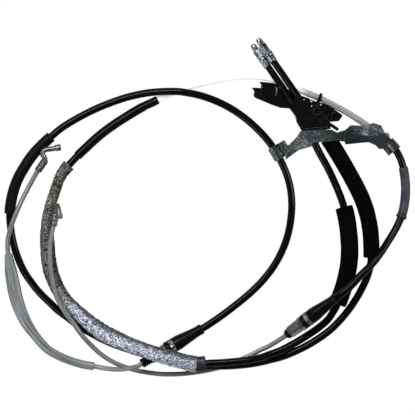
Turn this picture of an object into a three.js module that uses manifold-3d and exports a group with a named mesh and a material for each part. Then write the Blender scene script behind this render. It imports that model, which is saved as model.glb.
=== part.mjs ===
import * as THREE from 'three';
import Module from 'manifold-3d';
import { mergeVertices } from 'three/addons/utils/BufferGeometryUtils.js';

// Twin parking brake cable, lying loosely coiled on a flat surface. Millimetres, +Z up.
// Each cable is a wire rope in a sheathed conduit, from a rod end at the front to a hook at the rear.

const wasm = await Module();
wasm.setup();

// Driving dimensions
const wireRadius = 2.4;
const conduitRadius = 3.75;
const linerRadius = 3.2;
const frontTubeRadius = 3.4;
const foamRadius = { a: 8.3, b: 9.0 };
const thickSleeveRadius = 5.6;
const rubberTubeRadius = 4.7;
const rubberNoseRadius = 4.35;
const greyTubeRadius = 4.7;
const gap = 0.25; // running clearance between nested pieces
const faceGap = 0.3; // clearance between faces that meet
const roundSides = 8; // facets round a cable
const sleeveSides = 12; // facets round a sleeve
const stationStep = 18; // longest step between two sections of a cable

const foil = { wall: 1.2, halfHeight: conduitRadius + gap + 1.25 };
const collar = { halfWidth: 7.8, halfHeight: 5.3, length: 9.5 };
const guard = { wall: 1.0, halfHeight: wireRadius + gap + 1.3 };

const rear = {
  bootLength: 33, bootNarrow: 5.1, bootWide: 7.35, bootLip: 1.6,
  tailRadius: 5.0, tailLength: 15, conduitSeat: 11,
  clipLength: 4, clipRadius: 7.7,
  ringLength: 4.3, ringRadius: 7.4,
  headLength: 17.5, headWide: { a: 6.4, b: 7.3 }, headNarrow: { a: 5.7, b: 6.0 },
  sealRadius: 5.0, sealLength: { a: 10.5, b: 4.2 }, sealTail: 4,
};

const ferruleRing = { lip: 0.8, length: 3.4 };

const front = {
  tipRadius: 3.05, tipLength: 7.2, socketFloor: 1.0, socketWall: 0.55,
  nutAcross: 7.4, nutLength: 9.3,
  flangeRadius: 4.6, flangeLength: 3.2,
  ferruleRadius: 4.15, ferruleLength: 7.2, tubeSeat: 4.5,
};

const crimp = { radius: 3.7, length: 13, wireSeat: 9, rodSeat: 2.6 };
const hook = { rodRadius: 2.6, barrelRadius: 3.3, barrelLength: 5.4 };

const plate = { thickness: 1.8, ridge: 0.9 };
const clamp = {
  wall: 1.6, halfLength: { a: 7.2, b: 5.4 }, tabReach: { a: 9.5, b: 5.0 }, tabHalf: 1.9,
  seams: [1.8, 5.2], towards: { a: [90, 66, 0], b: [160, 66, 0] },
};

const housing = {
  floor: 2.4, wallHeight: 7, wallThickness: 2, blockHeight: 18.2,
  ribThickness: 1.6, ribDrop: 2.5, lugRadius: 3.0, lugRise: 5, tongueThickness: 3.0, tongueRise: 2,
};
const overlap = 0.5; // how far the housing's walls start inside its floor
const blockJoint = 2; // where the conduits start, past the block's middle
const noseSeat = 2; // how far the conduit reaches into the rubber nose
const roomReach = 40; // length of the room cut for a tube or a conduit
const bush = { centre: [108.6, 95.6], radius: 4.6, hole: 2.4, depth: 3.2, lip: 0.8 };
const springStrip = { radius: 0.8, spans: 14, sides: 8 };
const strap = {
  centre: [111.9, 109.2], inward: [-0.37, -0.93, 0], width: 3.0, reach: 5.2, leg: 3.75, bend: 2.2,
  shoulder: 3.2, thickness: 1.8, foot: 0.2, slope: 1.4, edge: 0.6,
};

const colours = {
  blackPlastic: 0x141414, blackRubber: 0x101010, foam: 0x0c0c0b, steelWire: 0xa9abad,
  paleNylon: 0xd9dadc, zinc: 0xc2c5c8, bracketSteel: 0x565b60, foilSkin: 0xc9cbd0,
  greyPlastic: 0x3d3f48, guardPlastic: 0xaeb2b6, crimpSteel: 0x77776c, brass: 0x8d7a3c,
  collarGrey: 0x3a3b40, clipGrey: 0xb9b9b6,
};

// Lengths of cable that the end fittings keep straight
const rodSocketStart = front.tipLength + front.nutLength + faceGap;
const frontReach = rodSocketStart + front.flangeLength + front.ferruleLength;
const rodLength = frontReach - front.tubeSeat - faceGap * 2;
function rearReach(side) {
  return rear.bootLength + rear.clipLength + rear.ringLength + rear.headLength + rear.sealLength[side]
    + faceGap * 2;
}
const runOut = 5; // straight cable before and after a rear fitting

// Points of a straight run from one point towards another, with a run-out past its end
function straightRun(from, towards, length, name, runIn = runOut) {
  const start = new THREE.Vector3(...from);
  const direction = new THREE.Vector3(...towards).sub(start).normalize();
  const distances = [0, length / 2, length, length + runOut];
  if (runIn) distances.unshift(-runIn);
  return distances.map((distance) => {
    const point = start.clone().addScaledVector(direction, distance).toArray();
    return distance === 0 ? [...point, name] : point;
  });
}

// Routes: [x, y, height of the centre line, name of the place], from the front end to the hook.
// They are chosen by hand: the lie of the coil, and what passes over what.
const routeA = [
  ...straightRun([50.0, 168.2, 13.2], [71.5, 137.3, 14.0], frontReach, 'tip', 0),
  [75.5, 131.6, 13.7],
  [84.5, 118.7, 12.9], [91.4, 108.7, 12.3], [95.5, 102.8, 12.3, 'block'], [101.5, 94.0, 12.2],
  [107.5, 85.2, 11.4], [114.0, 76.5, 9.8], [119.6, 69.2, 8.5, 'foamStart'], [124.4, 62.4, 8.4],
  [135.2, 44.7, 8.4], [144.9, 27.5, 8.4], [151.7, 14.2, 8.4], [156.0, 3.7, 8.4], [159.5, -7.5, 8.4],
  [162.2, -21.5, 8.4], [163.3, -35.5, 8.4], [163.4, -50.3, 8.4, 'foamEnd'], [161.8, -60.8, 7.2],
  [158.7, -71.2, 5.0], [153.0, -83.3, 3.9], [147.0, -93.5, 3.8], [140.0, -103.5, 3.8],
  [131.3, -113.8, 3.8], [121.4, -123.3, 3.8], [106.5, -133.8, 3.8], [91.5, -141.9, 3.8],
  [76.5, -148.3, 3.8], [61.7, -152.3, 4.4], [52.0, -154.5, 6.1], [42.1, -156.1, 8.4],
  [32.5, -157.1, 9.1], [22.5, -157.8, 9.2], [12.5, -158.1, 9.0], [-1.5, -158.1, 7.2],
  [-12.5, -157.2, 5.0], [-27.5, -154.8, 3.8], [-41.5, -151.8, 3.8], [-55.0, -148.8, 3.8],
  [-67.5, -145.3, 3.8], [-81.5, -140.8, 3.8], [-95.5, -135.8, 3.8], [-107.5, -130.3, 3.8],
  [-121.1, -122.9, 3.8], [-131.5, -116.3, 3.8], [-140.5, -109.4, 3.8], [-149.6, -102.6, 3.8],
  [-157.5, -95.0, 3.8], [-164.2, -88.7, 3.8], [-170.7, -81.6, 3.8], [-176.3, -74.2, 3.8],
  [-182.9, -64.5, 3.8], [-188.7, -52.0, 3.8], [-193.3, -38.0, 3.8], [-196.3, -22.5, 3.9],
  [-197.4, -6.0, 5.4, 'sleeveStart'], [-195.0, 11.5, 5.7], [-190.0, 27.0, 5.7],
  [-183.0, 40.0, 5.7], [-174.5, 52.5, 5.7], [-165.0, 62.7, 5.7], [-156.0, 70.8, 5.7, 'sleeveEnd'],
  [-145.5, 79.6, 4.4], [-127.9, 90.3, 3.8], [-107.8, 100.2, 3.8], [-86.5, 108.2, 4.4],
  [-71.5, 112.2, 6.4], [-56.5, 114.7, 9.0], [-41.5, 115.6, 10.9], [-28.5, 115.5, 11.3],
  [-17.0, 113.8, 10.4], [-6.5, 111.5, 8.2], [7.3, 106.8, 5.2], [21.3, 100.1, 3.9],
  [34.8, 91.3, 3.9], [45.7, 82.2, 4.6], [55.6, 72.4, 5.5], [63.0, 63.4, 5.7],
  [68.8, 54.5, 5.7, 'clamp'], [73.8, 45.2, 5.5], [79.3, 32.4, 4.4], [82.9, 18.5, 3.8],
  [84.2, 4.0, 3.8], [83.5, -9.5, 3.8], [81.3, -23.0, 3.8], [77.5, -36.0, 3.8], [71.5, -49.5, 3.8],
  [63.5, -62.5, 3.8], [53.0, -75.3, 3.8], [40.5, -87.3, 3.8], [27.0, -98.3, 3.8],
  [13.5, -108.5, 3.9],
  ...straightRun([-5.6, -121.0, 5.6], [-62.3, -153.6, 15.4], rearReach('a'), 'boot'),
  [-80.0, -160.4, 13.6], [-91.0, -161.4, 9.2], [-102.0, -160.6, 5.8],
  [-113.5, -158.6, 4.2, 'guardStart'],
  [-124.0, -156.9, 4.0], [-135.5, -153.6, 4.0], [-147.5, -148.8, 4.0], [-160.8, -140.7, 4.0],
  [-173.0, -126.8, 4.0], [-183.0, -111.6, 4.0], [-190.5, -92.5, 4.0], [-194.6, -73.5, 4.0],
  [-197.2, -58.0, 4.3], [-198.8, -46.5, 5.4, 'guardEnd'], [-199.6, -39.0, 6.8],
  [-198.9, -31.0, 9.2], [-196.6, -22.0, 11.0], [-193.4, -12.5, 11.3], [-189.6, -3.0, 10.9],
  [-185.6, 6.0, 9.6], [-180.6, 16.0, 7.8], [-174.5, 27.5, 6.8], [-169.3, 36.5, 7.2, 'crimp'],
  [-164.8, 42.8, 8.6], [-161.6, 47.6, 9.8, 'hook'],
];
const hookPathA = [
  [-161.6, 47.6, 9.8], [-162.6, 50.2, 10.9], [-164.4, 52.9, 11.6], [-163.6, 56.0, 11.6],
  [-160.4, 57.8, 11.3], [-156.0, 58.3, 10.7], [-151.4, 59.2, 10.0], [-147.4, 59.9, 9.4],
];

const routeB = [
  ...straightRun([44.8, 162.7, 5.0], [66.0, 132.4, 10.0], frontReach, 'tip', 0),
  [69.5, 127.2, 10.7],
  [78.4, 114.3, 11.3], [85.2, 104.5, 12.0], [89.2, 98.8, 12.1, 'block'], [95.0, 90.3, 11.7],
  [99.6, 82.9, 10.4], [103.4, 74.3, 8.0], [107.0, 64.5, 5.6], [112.1, 54.0, 4.2],
  [120.6, 38.6, 3.8], [127.0, 24.9, 4.6], [132.1, 12.4, 7.2], [136.0, 0.5, 9.0, 'foamStart'],
  [139.4, -15.0, 9.1], [141.6, -36.5, 9.1], [141.1, -54.4, 9.1], [138.2, -70.5, 9.1],
  [134.2, -84.0, 9.1], [129.6, -96.0, 9.1, 'foamEnd'], [125.0, -104.7, 7.6], [119.2, -112.9, 5.6],
  [110.3, -120.5, 4.2], [101.2, -126.8, 4.0], [88.3, -134.6, 6.8], [73.5, -142.3, 9.5],
  [63.0, -146.1, 10.8], [53.3, -149.4, 13.4], [43.0, -151.4, 15.8], [32.9, -152.7, 16.6],
  [22.8, -153.7, 16.8], [12.5, -154.5, 17.0], [2.0, -154.9, 17.2, 'collarStart'],
  [-11.3, -155.8, 17.3, 'foilStart'], [-27.5, -152.1, 20.6], [-44.0, -147.3, 25.2],
  [-54.0, -144.2, 25.8], [-64.5, -140.9, 24.2], [-84.5, -133.7, 17.8], [-103.9, -124.3, 12.2],
  [-117.9, -114.5, 9.6], [-132.0, -102.3, 7.4], [-143.0, -90.5, 6.0], [-151.0, -78.0, 5.6],
  [-156.5, -63.5, 5.6], [-158.9, -49.5, 5.6], [-159.9, -35.5, 5.6], [-160.3, -21.5, 5.6],
  [-158.9, -7.0, 5.6], [-155.3, 7.0, 5.6], [-151.9, 17.5, 5.6], [-148.3, 28.0, 5.6],
  [-143.7, 36.0, 5.6], [-138.4, 42.4, 5.5, 'foilEnd'], [-129.9, 51.4, 4.8, 'rubberStart'],
  [-122.0, 59.0, 4.8], [-107.8, 71.9, 4.8], [-92.4, 83.3, 4.8], [-77.2, 93.0, 4.8],
  [-64.0, 100.7, 4.8, 'noseStart'], [-55.0, 104.9, 4.5], [-49.7, 107.6, 4.2, 'noseEnd'],
  [-40.5, 112.0, 3.6], [-31.5, 115.8, 3.2], [-20.5, 119.6, 3.2], [-7.5, 123.6, 3.2],
  [6.5, 126.9, 3.2], [20.5, 129.1, 3.2], [34.0, 130.9, 3.2], [49.5, 130.7, 3.2], [62.5, 128.9, 3.2],
  [76.0, 124.6, 3.2], [88.5, 119.2, 3.2], [100.5, 113.9, 3.2], [112.5, 108.9, 3.2, 'strap'],
  [124.5, 103.1, 3.2], [137.0, 96.3, 3.3], [149.0, 88.8, 3.8], [160.5, 81.0, 4.7],
  [170.5, 74.0, 5.4, 'linerEnd'], [179.0, 67.2, 5.7], [184.6, 61.6, 5.7, 'clamp'],
  [190.8, 52.5, 5.4], [195.4, 40.0, 4.9, 'greyStart'], [197.7, 22.5, 4.8], [197.1, 7.0, 4.8],
  [194.2, -7.0, 5.9, 'greyEnd'], [188.0, -20.8, 8.2], [179.4, -34.7, 12.2], [171.0, -46.8, 18.2],
  [162.5, -57.1, 21.9], [152.0, -67.2, 25.2], [142.0, -77.9, 26.9],
  ...straightRun([127.3, -90.0, 24.4], [78.6, -127.2, 8.2], rearReach('b'), 'boot'),
  [61.5, -138.4, 3.2], [52.5, -142.6, 2.5],
  [42.5, -147.7, 2.4], [32.5, -152.3, 2.4], [22.5, -156.4, 2.4], [12.5, -159.7, 2.4],
  [1.5, -162.4, 2.4], [-10.5, -164.5, 2.4], [-26.5, -166.3, 2.4], [-45.5, -166.5, 2.4],
  [-62.5, -164.5, 2.4], [-76.5, -161.3, 2.4], [-90.5, -156.3, 2.4], [-102.5, -149.5, 2.4],
  [-112.5, -141.3, 3.6], [-123.5, -129.5, 7.8], [-134.0, -115.0, 11.2], [-143.5, -101.8, 12.8],
  [-150.4, -88.6, 13.7], [-154.5, -73.5, 13.9], [-156.5, -58.5, 13.9], [-157.0, -43.5, 13.9],
  [-156.0, -31.0, 13.5], [-153.6, -18.5, 12.8, 'crimp'], [-152.4, -12.4, 12.5],
  [-151.4, -6.7, 12.3, 'hook'],
];
const hookPathB = [
  [-151.4, -6.7, 12.3], [-151.0, -2.6, 12.7], [-150.2, 1.0, 15.4], [-149.0, 1.4, 19.6],
  [-148.0, -1.6, 23.0], [-147.2, -6.0, 24.6], [-146.8, -10.0, 24.8],
];

// Half-widths of the foil sleeve and of the wire's guard tube, evenly spread from start to end
const foilHalfWidths = [
  8.2, 8.3, 8.2, 7.7, 7.6, 8.2, 8.8, 8.6, 7.8, 7.3, 6.8, 7.5, 7.9, 7.7, 7.3, 6.2, 5.7, 5.7, 5.8, 6.7,
];
const guardHalfWidths = [4.1, 4.2, 4.3, 4.5, 4.8, 6.0, 6.7, 7.0, 6.3, 3.9];

const vector = ([x, y, z]) => new THREE.Vector3(x, y, z);
const group = new THREE.Group();

function finish(colour, roughness, metalness = 0) {
  return new THREE.MeshStandardMaterial({ color: colour, roughness, metalness });
}

function addMesh(name, geometry, material) {
  const mesh = new THREE.Mesh(geometry, material);
  mesh.name = name;
  group.add(mesh);
  return mesh;
}

// Solids for cuts and joins
function toSolid(geometry) {
  const bare = geometry.clone();
  for (const key of Object.keys(bare.attributes)) {
    if (key !== 'position') bare.deleteAttribute(key);
  }
  const merged = mergeVertices(bare, 1e-4);
  return new wasm.Manifold(new wasm.Mesh({
    numProp: 3,
    vertProperties: new Float32Array(merged.attributes.position.array),
    triVerts: new Uint32Array(merged.index.array),
  }));
}

function toGeometry(solid) {
  const mesh = solid.getMesh();
  const geometry = new THREE.BufferGeometry();
  geometry.setAttribute('position', new THREE.BufferAttribute(mesh.vertProperties, 3));
  geometry.setIndex(new THREE.BufferAttribute(mesh.triVerts, 1));
  geometry.computeVertexNormals();
  return geometry;
}

// The cable's centre line, cut into stations that all the pieces on it share
class Route {
  constructor(points) {
    this.curve = new THREE.CatmullRomCurve3(points.map(vector), false, 'catmullrom', 0.5);
    const perSpan = 20;
    this.curve.arcLengthDivisions = (points.length - 1) * perSpan;
    const lengths = this.curve.getLengths();
    this.places = {};
    points.forEach((point, i) => {
      if (point[3]) this.places[point[3]] = lengths[i * perSpan];
    });
    this.places.end = this.curve.getLength();
    this.cuts = new Set();
  }

  // distance along the cable of a named place, plus an offset; it becomes a station
  at(place, offset = 0) {
    const distance = this.places[place] + offset;
    this.cuts.add(distance);
    return distance;
  }

  pointAt(distance) {
    return this.curve.getPointAt(THREE.MathUtils.clamp(distance / this.places.end, 0, 1));
  }

  directionAt(distance) {
    return this.curve.getTangentAt(THREE.MathUtils.clamp(distance / this.places.end, 0, 1));
  }

  distances(from, to) {
    const cuts = [...this.cuts].filter((cut) => cut > from && cut < to).sort((p, q) => p - q);
    const list = [from];
    for (const cut of [...cuts, to]) {
      const last = list[list.length - 1];
      const steps = Math.max(1, Math.ceil((cut - last) / stationStep));
      for (let i = 1; i <= steps; i += 1) list.push(last + ((cut - last) * i) / steps);
    }
    return list.filter((value, i) => i === 0 || value - list[i - 1] > 0.05);
  }
}

// A path through given stations, with no resampling between them
class StationPath extends THREE.Curve {
  constructor(points, directions) {
    super();
    this.points = points;
    this.directions = directions;
  }

  getUtoTmapping(u) {
    return u;
  }

  getPoint(t, target = new THREE.Vector3()) {
    const place = t * (this.points.length - 1);
    const i = Math.min(Math.floor(place), this.points.length - 2);
    return target.lerpVectors(this.points[i], this.points[i + 1], place - i);
  }

  getTangent(t, target = new THREE.Vector3()) {
    if (!this.directions) return super.getTangent(t, target);
    return target.copy(this.directions[Math.round(t * (this.points.length - 1))]);
  }
}

function ring(radius, sides) {
  return Array.from({ length: sides }, (_, i) => {
    const angle = ((i + 0.5) / sides) * Math.PI * 2;
    return new THREE.Vector2(radius * Math.cos(angle), radius * Math.sin(angle));
  });
}

// the radius of a faceted bore that clears a round piece by the running clearance
function boreFor(radius, sides = roundSides, clearance = gap) {
  return (radius + clearance) / Math.cos(Math.PI / sides);
}

function sweep(points, outer, bore, sides, directions) {
  const shape = new THREE.Shape(ring(outer, sides));
  if (bore) shape.holes.push(new THREE.Path(ring(bore, sides).reverse()));
  return new THREE.ExtrudeGeometry(shape, {
    steps: points.length - 1, extrudePath: new StationPath(points, directions), bevelEnabled: false,
  });
}

function sweepRoute(route, from, to, outer, bore, sides = roundSides) {
  const distances = route.distances(from, to);
  const points = distances.map((distance) => route.pointAt(distance));
  const directions = distances.map((distance) => route.directionAt(distance));
  return sweep(points, outer, bore, sides, directions);
}

// A flattened sleeve with its width changing along the route
function flatSleeve(route, from, to, halfWidths, halfHeight, wall, sides) {
  const distances = route.distances(from, to);
  const positions = [];
  const index = [];
  distances.forEach((distance) => {
    const share = ((distance - from) / (to - from)) * (halfWidths.length - 1);
    const i = Math.min(Math.floor(share), halfWidths.length - 2);
    const half = THREE.MathUtils.lerp(halfWidths[i], halfWidths[i + 1], share - i);
    const centre = route.pointAt(distance);
    const along = route.directionAt(distance);
    const across = new THREE.Vector3().crossVectors(along, new THREE.Vector3(0, 0, 1)).normalize();
    const up = new THREE.Vector3().crossVectors(across, along);
    for (const inset of [0, wall]) {
      for (let k = 0; k < sides; k += 1) {
        const angle = (k / sides) * Math.PI * 2;
        const point = centre.clone()
          .addScaledVector(across, (half - inset) * Math.cos(angle))
          .addScaledVector(up, (halfHeight - inset) * Math.sin(angle));
        positions.push(point.x, point.y, point.z);
      }
    }
  });
  const vertex = (station, layer, k) => (station * 2 + layer) * sides + (k % sides);
  const quad = (a, b, c, d) => index.push(a, c, b, a, d, c);
  const last = distances.length - 1;
  for (let k = 0; k < sides; k += 1) {
    for (let s = 0; s < last; s += 1) {
      quad(vertex(s, 0, k), vertex(s, 0, k + 1), vertex(s + 1, 0, k + 1), vertex(s + 1, 0, k));
      quad(vertex(s, 1, k + 1), vertex(s, 1, k), vertex(s + 1, 1, k), vertex(s + 1, 1, k + 1));
    }
    quad(vertex(0, 0, k + 1), vertex(0, 0, k), vertex(0, 1, k), vertex(0, 1, k + 1));
    quad(vertex(last, 0, k), vertex(last, 0, k + 1), vertex(last, 1, k + 1), vertex(last, 1, k));
  }
  const geometry = new THREE.BufferGeometry();
  geometry.setAttribute('position', new THREE.Float32BufferAttribute(positions, 3));
  geometry.setIndex(index);
  geometry.computeVertexNormals();
  return geometry;
}

// A turned piece: [radius, distance along the cable from the place], seated on the route
function turned(route, distance, profile, segments = 16) {
  const points = profile.map(([radius, along]) => new THREE.Vector2(radius, along));
  const geometry = new THREE.LatheGeometry([...points, points[0].clone()], segments);
  return seat(geometry, route, distance);
}

function seat(geometry, route, distance) {
  const up = new THREE.Vector3(0, 1, 0);
  const turn = new THREE.Quaternion().setFromUnitVectors(up, route.directionAt(distance));
  geometry.applyQuaternion(turn);
  geometry.translate(...route.pointAt(distance).toArray());
  return geometry;
}

const cables = { a: new Route(routeA), b: new Route(routeB) };

// Places along each cable, fixed before anything is cut from it
function placesOf(route, side) {
  const bootStart = route.at('boot');
  const clipStart = bootStart + rear.bootLength;
  const ringStart = clipStart + rear.clipLength + faceGap;
  const headStart = ringStart + rear.ringLength + faceGap;
  const headEnd = headStart + rear.headLength;
  const sealEnd = headEnd + rear.sealLength[side];
  const places = {
    tip: route.at('tip'),
    wireStart: route.at('tip', rodSocketStart + front.socketFloor + faceGap),
    nutStart: route.at('tip', front.tipLength),
    flangeStart: route.at('tip', rodSocketStart),
    block: route.at('block'),
    bootStart,
    clipStart,
    ringStart,
    headStart,
    headEnd,
    sealEnd,
    conduitEnd: headStart - rear.tailLength + rear.conduitSeat,
    crimp: route.at('crimp'),
    hook: route.at('hook'),
  };
  places.ferruleStart = places.flangeStart + front.flangeLength;
  places.ferruleEnd = places.ferruleStart + front.ferruleLength;
  places.tubeStart = places.ferruleEnd - front.tubeSeat;
  places.wireEnd = places.crimp + crimp.wireSeat;
  for (const name of Object.keys(places)) route.cuts.add(places[name]);
  return places;
}
const places = { a: placesOf(cables.a, 'a'), b: placesOf(cables.b, 'b') };
for (const name of ['foamStart', 'foamEnd', 'sleeveStart', 'sleeveEnd', 'clamp', 'guardStart', 'guardEnd']) {
  places.a[name] = cables.a.at(name);
}
for (const name of ['foamStart', 'foamEnd', 'collarStart', 'foilStart', 'foilEnd', 'rubberStart',
  'noseStart', 'noseEnd', 'linerEnd', 'clamp', 'greyStart', 'greyEnd']) {
  places.b[name] = cables.b.at(name);
}

places.b.greyRingStart = cables.b.at('greyEnd', faceGap);
places.b.greyRingEnd = cables.b.at('greyEnd', faceGap + ferruleRing.length);

// Wire ropes, whole from the rod end to the crimp at the hook
function addWire(side) {
  const route = cables[side];
  const at = places[side];
  const geometry = sweepRoute(route, at.wireStart, at.wireEnd, wireRadius, 0);
  addMesh(`wire_${side}`, geometry, finish(colours.steelWire, 0.4, 0.6));
}

// Conduits and what is slid over them
function addSheath(name, side, span, radius, colour, roughness, over = conduitRadius, sides = sleeveSides) {
  const geometry = sweepRoute(cables[side], ...span, radius, boreFor(over, sides), sides);
  addMesh(name, geometry, finish(colour, roughness));
}

function addConduits() {
  const { a, b } = places;
  const black = [colours.blackPlastic, 0.45, wireRadius, roundSides];
  addSheath('conduit_a', 'a', [a.block + blockJoint, a.conduitEnd], conduitRadius, ...black);
  addSheath('conduit_b_front', 'b', [b.block + blockJoint, b.noseStart + noseSeat], conduitRadius, ...black);
  addSheath('conduit_b_rear', 'b', [b.linerEnd, b.conduitEnd], conduitRadius, ...black);
  for (const side of ['a', 'b']) {
    const span = [places[side].tubeStart, places[side].block + blockJoint - faceGap];
    addSheath(`front_tube_${side}`, side, span, frontTubeRadius, ...black);
  }
  addSheath('liner_b', 'b', [b.noseStart + noseSeat + faceGap, b.linerEnd - faceGap], linerRadius,
    colours.paleNylon, 0.35, wireRadius, roundSides);
  addSheath('foam_tube_a', 'a', [a.foamStart, a.foamEnd], foamRadius.a, colours.foam, 0.95);
  addSheath('foam_tube_b', 'b', [b.foamStart, b.foamEnd], foamRadius.b, colours.foam, 0.95);
  addSheath('thick_sleeve_a', 'a', [a.sleeveStart, a.sleeveEnd], thickSleeveRadius, colours.blackRubber, 0.6);
  addSheath('grey_tube_b', 'b', [b.greyStart, b.greyEnd], greyTubeRadius, colours.greyPlastic, 0.5);
  addSheath('ferrule_ring_b', 'b', [b.greyRingStart, b.greyRingEnd], greyTubeRadius + ferruleRing.lip,
    colours.collarGrey, 0.4);
}

// Rubber tube of cable b, which ends in a narrower nose over the liner
function addRubberTube() {
  const { b } = places;
  const tube = toSolid(sweepRoute(cables.b, b.rubberStart, b.noseStart, rubberTubeRadius, 0, sleeveSides));
  const nose = toSolid(sweepRoute(cables.b, b.noseStart - faceGap, b.noseEnd, rubberNoseRadius, 0,
    sleeveSides));
  const conduitRoom = toSolid(sweepRoute(cables.b, b.rubberStart - 1, b.noseStart + noseSeat + faceGap,
    boreFor(conduitRadius, sleeveSides), 0, sleeveSides));
  const linerRoom = toSolid(sweepRoute(cables.b, b.noseStart + 1, b.noseEnd + 1,
    boreFor(linerRadius, sleeveSides), 0, sleeveSides));
  const solid = tube.add(nose).subtract(conduitRoom).subtract(linerRoom);
  addMesh('rubber_tube_b', toGeometry(solid), finish(colours.blackRubber, 0.6));
}

// Heat-shield sleeve of crinkled foil, closed by a collar at its front end
function addFoil() {
  const { b } = places;
  const sleeve = flatSleeve(cables.b, b.foilStart, b.foilEnd, foilHalfWidths, foil.halfHeight, foil.wall, 16);
  addMesh('foil_sleeve', sleeve, finish(colours.foilSkin, 0.3, 0.9));
  const collarEnd = b.foilStart - faceGap;
  const { halfWidth, halfHeight } = collar;
  const collarWall = halfHeight - conduitRadius - gap;
  const band = flatSleeve(cables.b, collarEnd - collar.length, collarEnd, [halfWidth, halfWidth], halfHeight,
    collarWall, 16);
  addMesh('foil_collar', band, finish(colours.collarGrey, 0.45));
}

function addGuard() {
  const { a } = places;
  const tube = flatSleeve(cables.a, a.guardStart, a.guardEnd, guardHalfWidths, guard.halfHeight,
    guard.wall, 14);
  addMesh('wire_guard_a', tube, finish(colours.guardPlastic, 0.35));
}

// Rear end: boot, clip, ring, abutment head and wire seal, all on the conduit's straight end
function addRearFitting(side) {
  const route = cables[side];
  const at = places[side];
  const wireBore = boreFor(wireRadius, 16);
  const conduitBore = boreFor(conduitRadius, 16);
  const tailBore = boreFor(rear.tailRadius, 16);
  const tailStart = at.headStart - rear.tailLength - at.bootStart;
  const seatDepth = 1;

  const boot = [
    [conduitBore, 0], [rear.bootNarrow, 0], [rear.bootNarrow + 0.4, rear.bootLip],
    [rear.bootNarrow, rear.bootLip * 2], [rear.bootWide, rear.bootLength - 6],
    [rear.bootWide, rear.bootLength - faceGap], [tailBore, rear.bootLength - faceGap],
    [tailBore, tailStart - seatDepth], [conduitBore, tailStart - seatDepth],
  ];
  addMesh(`boot_${side}`, turned(route, at.bootStart, boot), finish(colours.blackRubber, 0.55));

  const clip = retainingClip(route, at.clipStart, tailBore);
  addMesh(`retaining_clip_${side}`, clip, finish(colours.clipGrey, 0.5));

  const bead = rear.ringLength / 3;
  const ringProfile = [[tailBore, 0], [rear.ringRadius - 0.6, 0], [rear.ringRadius, bead],
    [rear.ringRadius, bead * 2], [rear.ringRadius - 0.6, rear.ringLength], [tailBore, rear.ringLength]];
  addMesh(`seal_ring_${side}`, turned(route, at.ringStart, ringProfile), finish(colours.blackRubber, 0.5));

  const start = -rear.tailLength;
  const sealSeat = rear.headLength - rear.sealTail;
  const sealNeck = rear.sealRadius - 1.2;
  const wide = rear.headWide[side];
  const narrow = rear.headNarrow[side];
  const head = [
    [conduitBore, start], [rear.tailRadius, start], [rear.tailRadius, 0], [wide, 0],
    [wide, 3.2], [wide - 0.7, 4.0], [narrow, rear.headLength - 1.2],
    [narrow - 0.8, rear.headLength], [sealNeck + gap, rear.headLength],
    [sealNeck + gap, sealSeat], [wireBore, sealSeat],
    [wireBore, start + rear.conduitSeat + faceGap], [conduitBore, start + rear.conduitSeat + faceGap],
  ];
  addMesh(`abutment_${side}`, turned(route, at.headStart, head, 12), finish(colours.zinc, 0.25, 0.9));

  const tailEnd = -rear.sealTail + faceGap;
  const seal = [[wireBore, tailEnd], [sealNeck, tailEnd], [sealNeck, faceGap]];
  const ribs = Math.max(1, Math.round(rear.sealLength[side] / 3));
  const ribLength = (rear.sealLength[side] - faceGap) / ribs;
  for (let i = 0; i < ribs; i += 1) {
    const from = faceGap + i * ribLength;
    seal.push([rear.sealRadius, from], [rear.sealRadius, from + ribLength * 0.6]);
    if (i < ribs - 1) seal.push([sealNeck, from + ribLength * 0.7], [sealNeck, from + ribLength * 0.9]);
  }
  seal.push([sealNeck, faceGap + ribs * ribLength], [wireBore, faceGap + ribs * ribLength]);
  addMesh(`wire_seal_${side}`, turned(route, at.headEnd, seal), finish(colours.blackRubber, 0.6));
}

// A toothed spring washer that holds the end in its bracket
function retainingClip(route, distance, bore) {
  const teeth = 9;
  const shape = new THREE.Shape();
  for (let i = 0; i < teeth * 2; i += 1) {
    const angle = (i / (teeth * 2)) * Math.PI * 2;
    const radius = i % 2 ? rear.clipRadius - 1.2 : rear.clipRadius;
    const point = [radius * Math.cos(angle), radius * Math.sin(angle)];
    if (i === 0) shape.moveTo(...point);
    else shape.lineTo(...point);
  }
  shape.holes.push(new THREE.Path(ring(bore, 16).reverse()));
  const geometry = new THREE.ExtrudeGeometry(shape, { depth: rear.clipLength, bevelEnabled: false });
  geometry.rotateX(-Math.PI / 2);
  return seat(geometry, route, distance);
}

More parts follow.
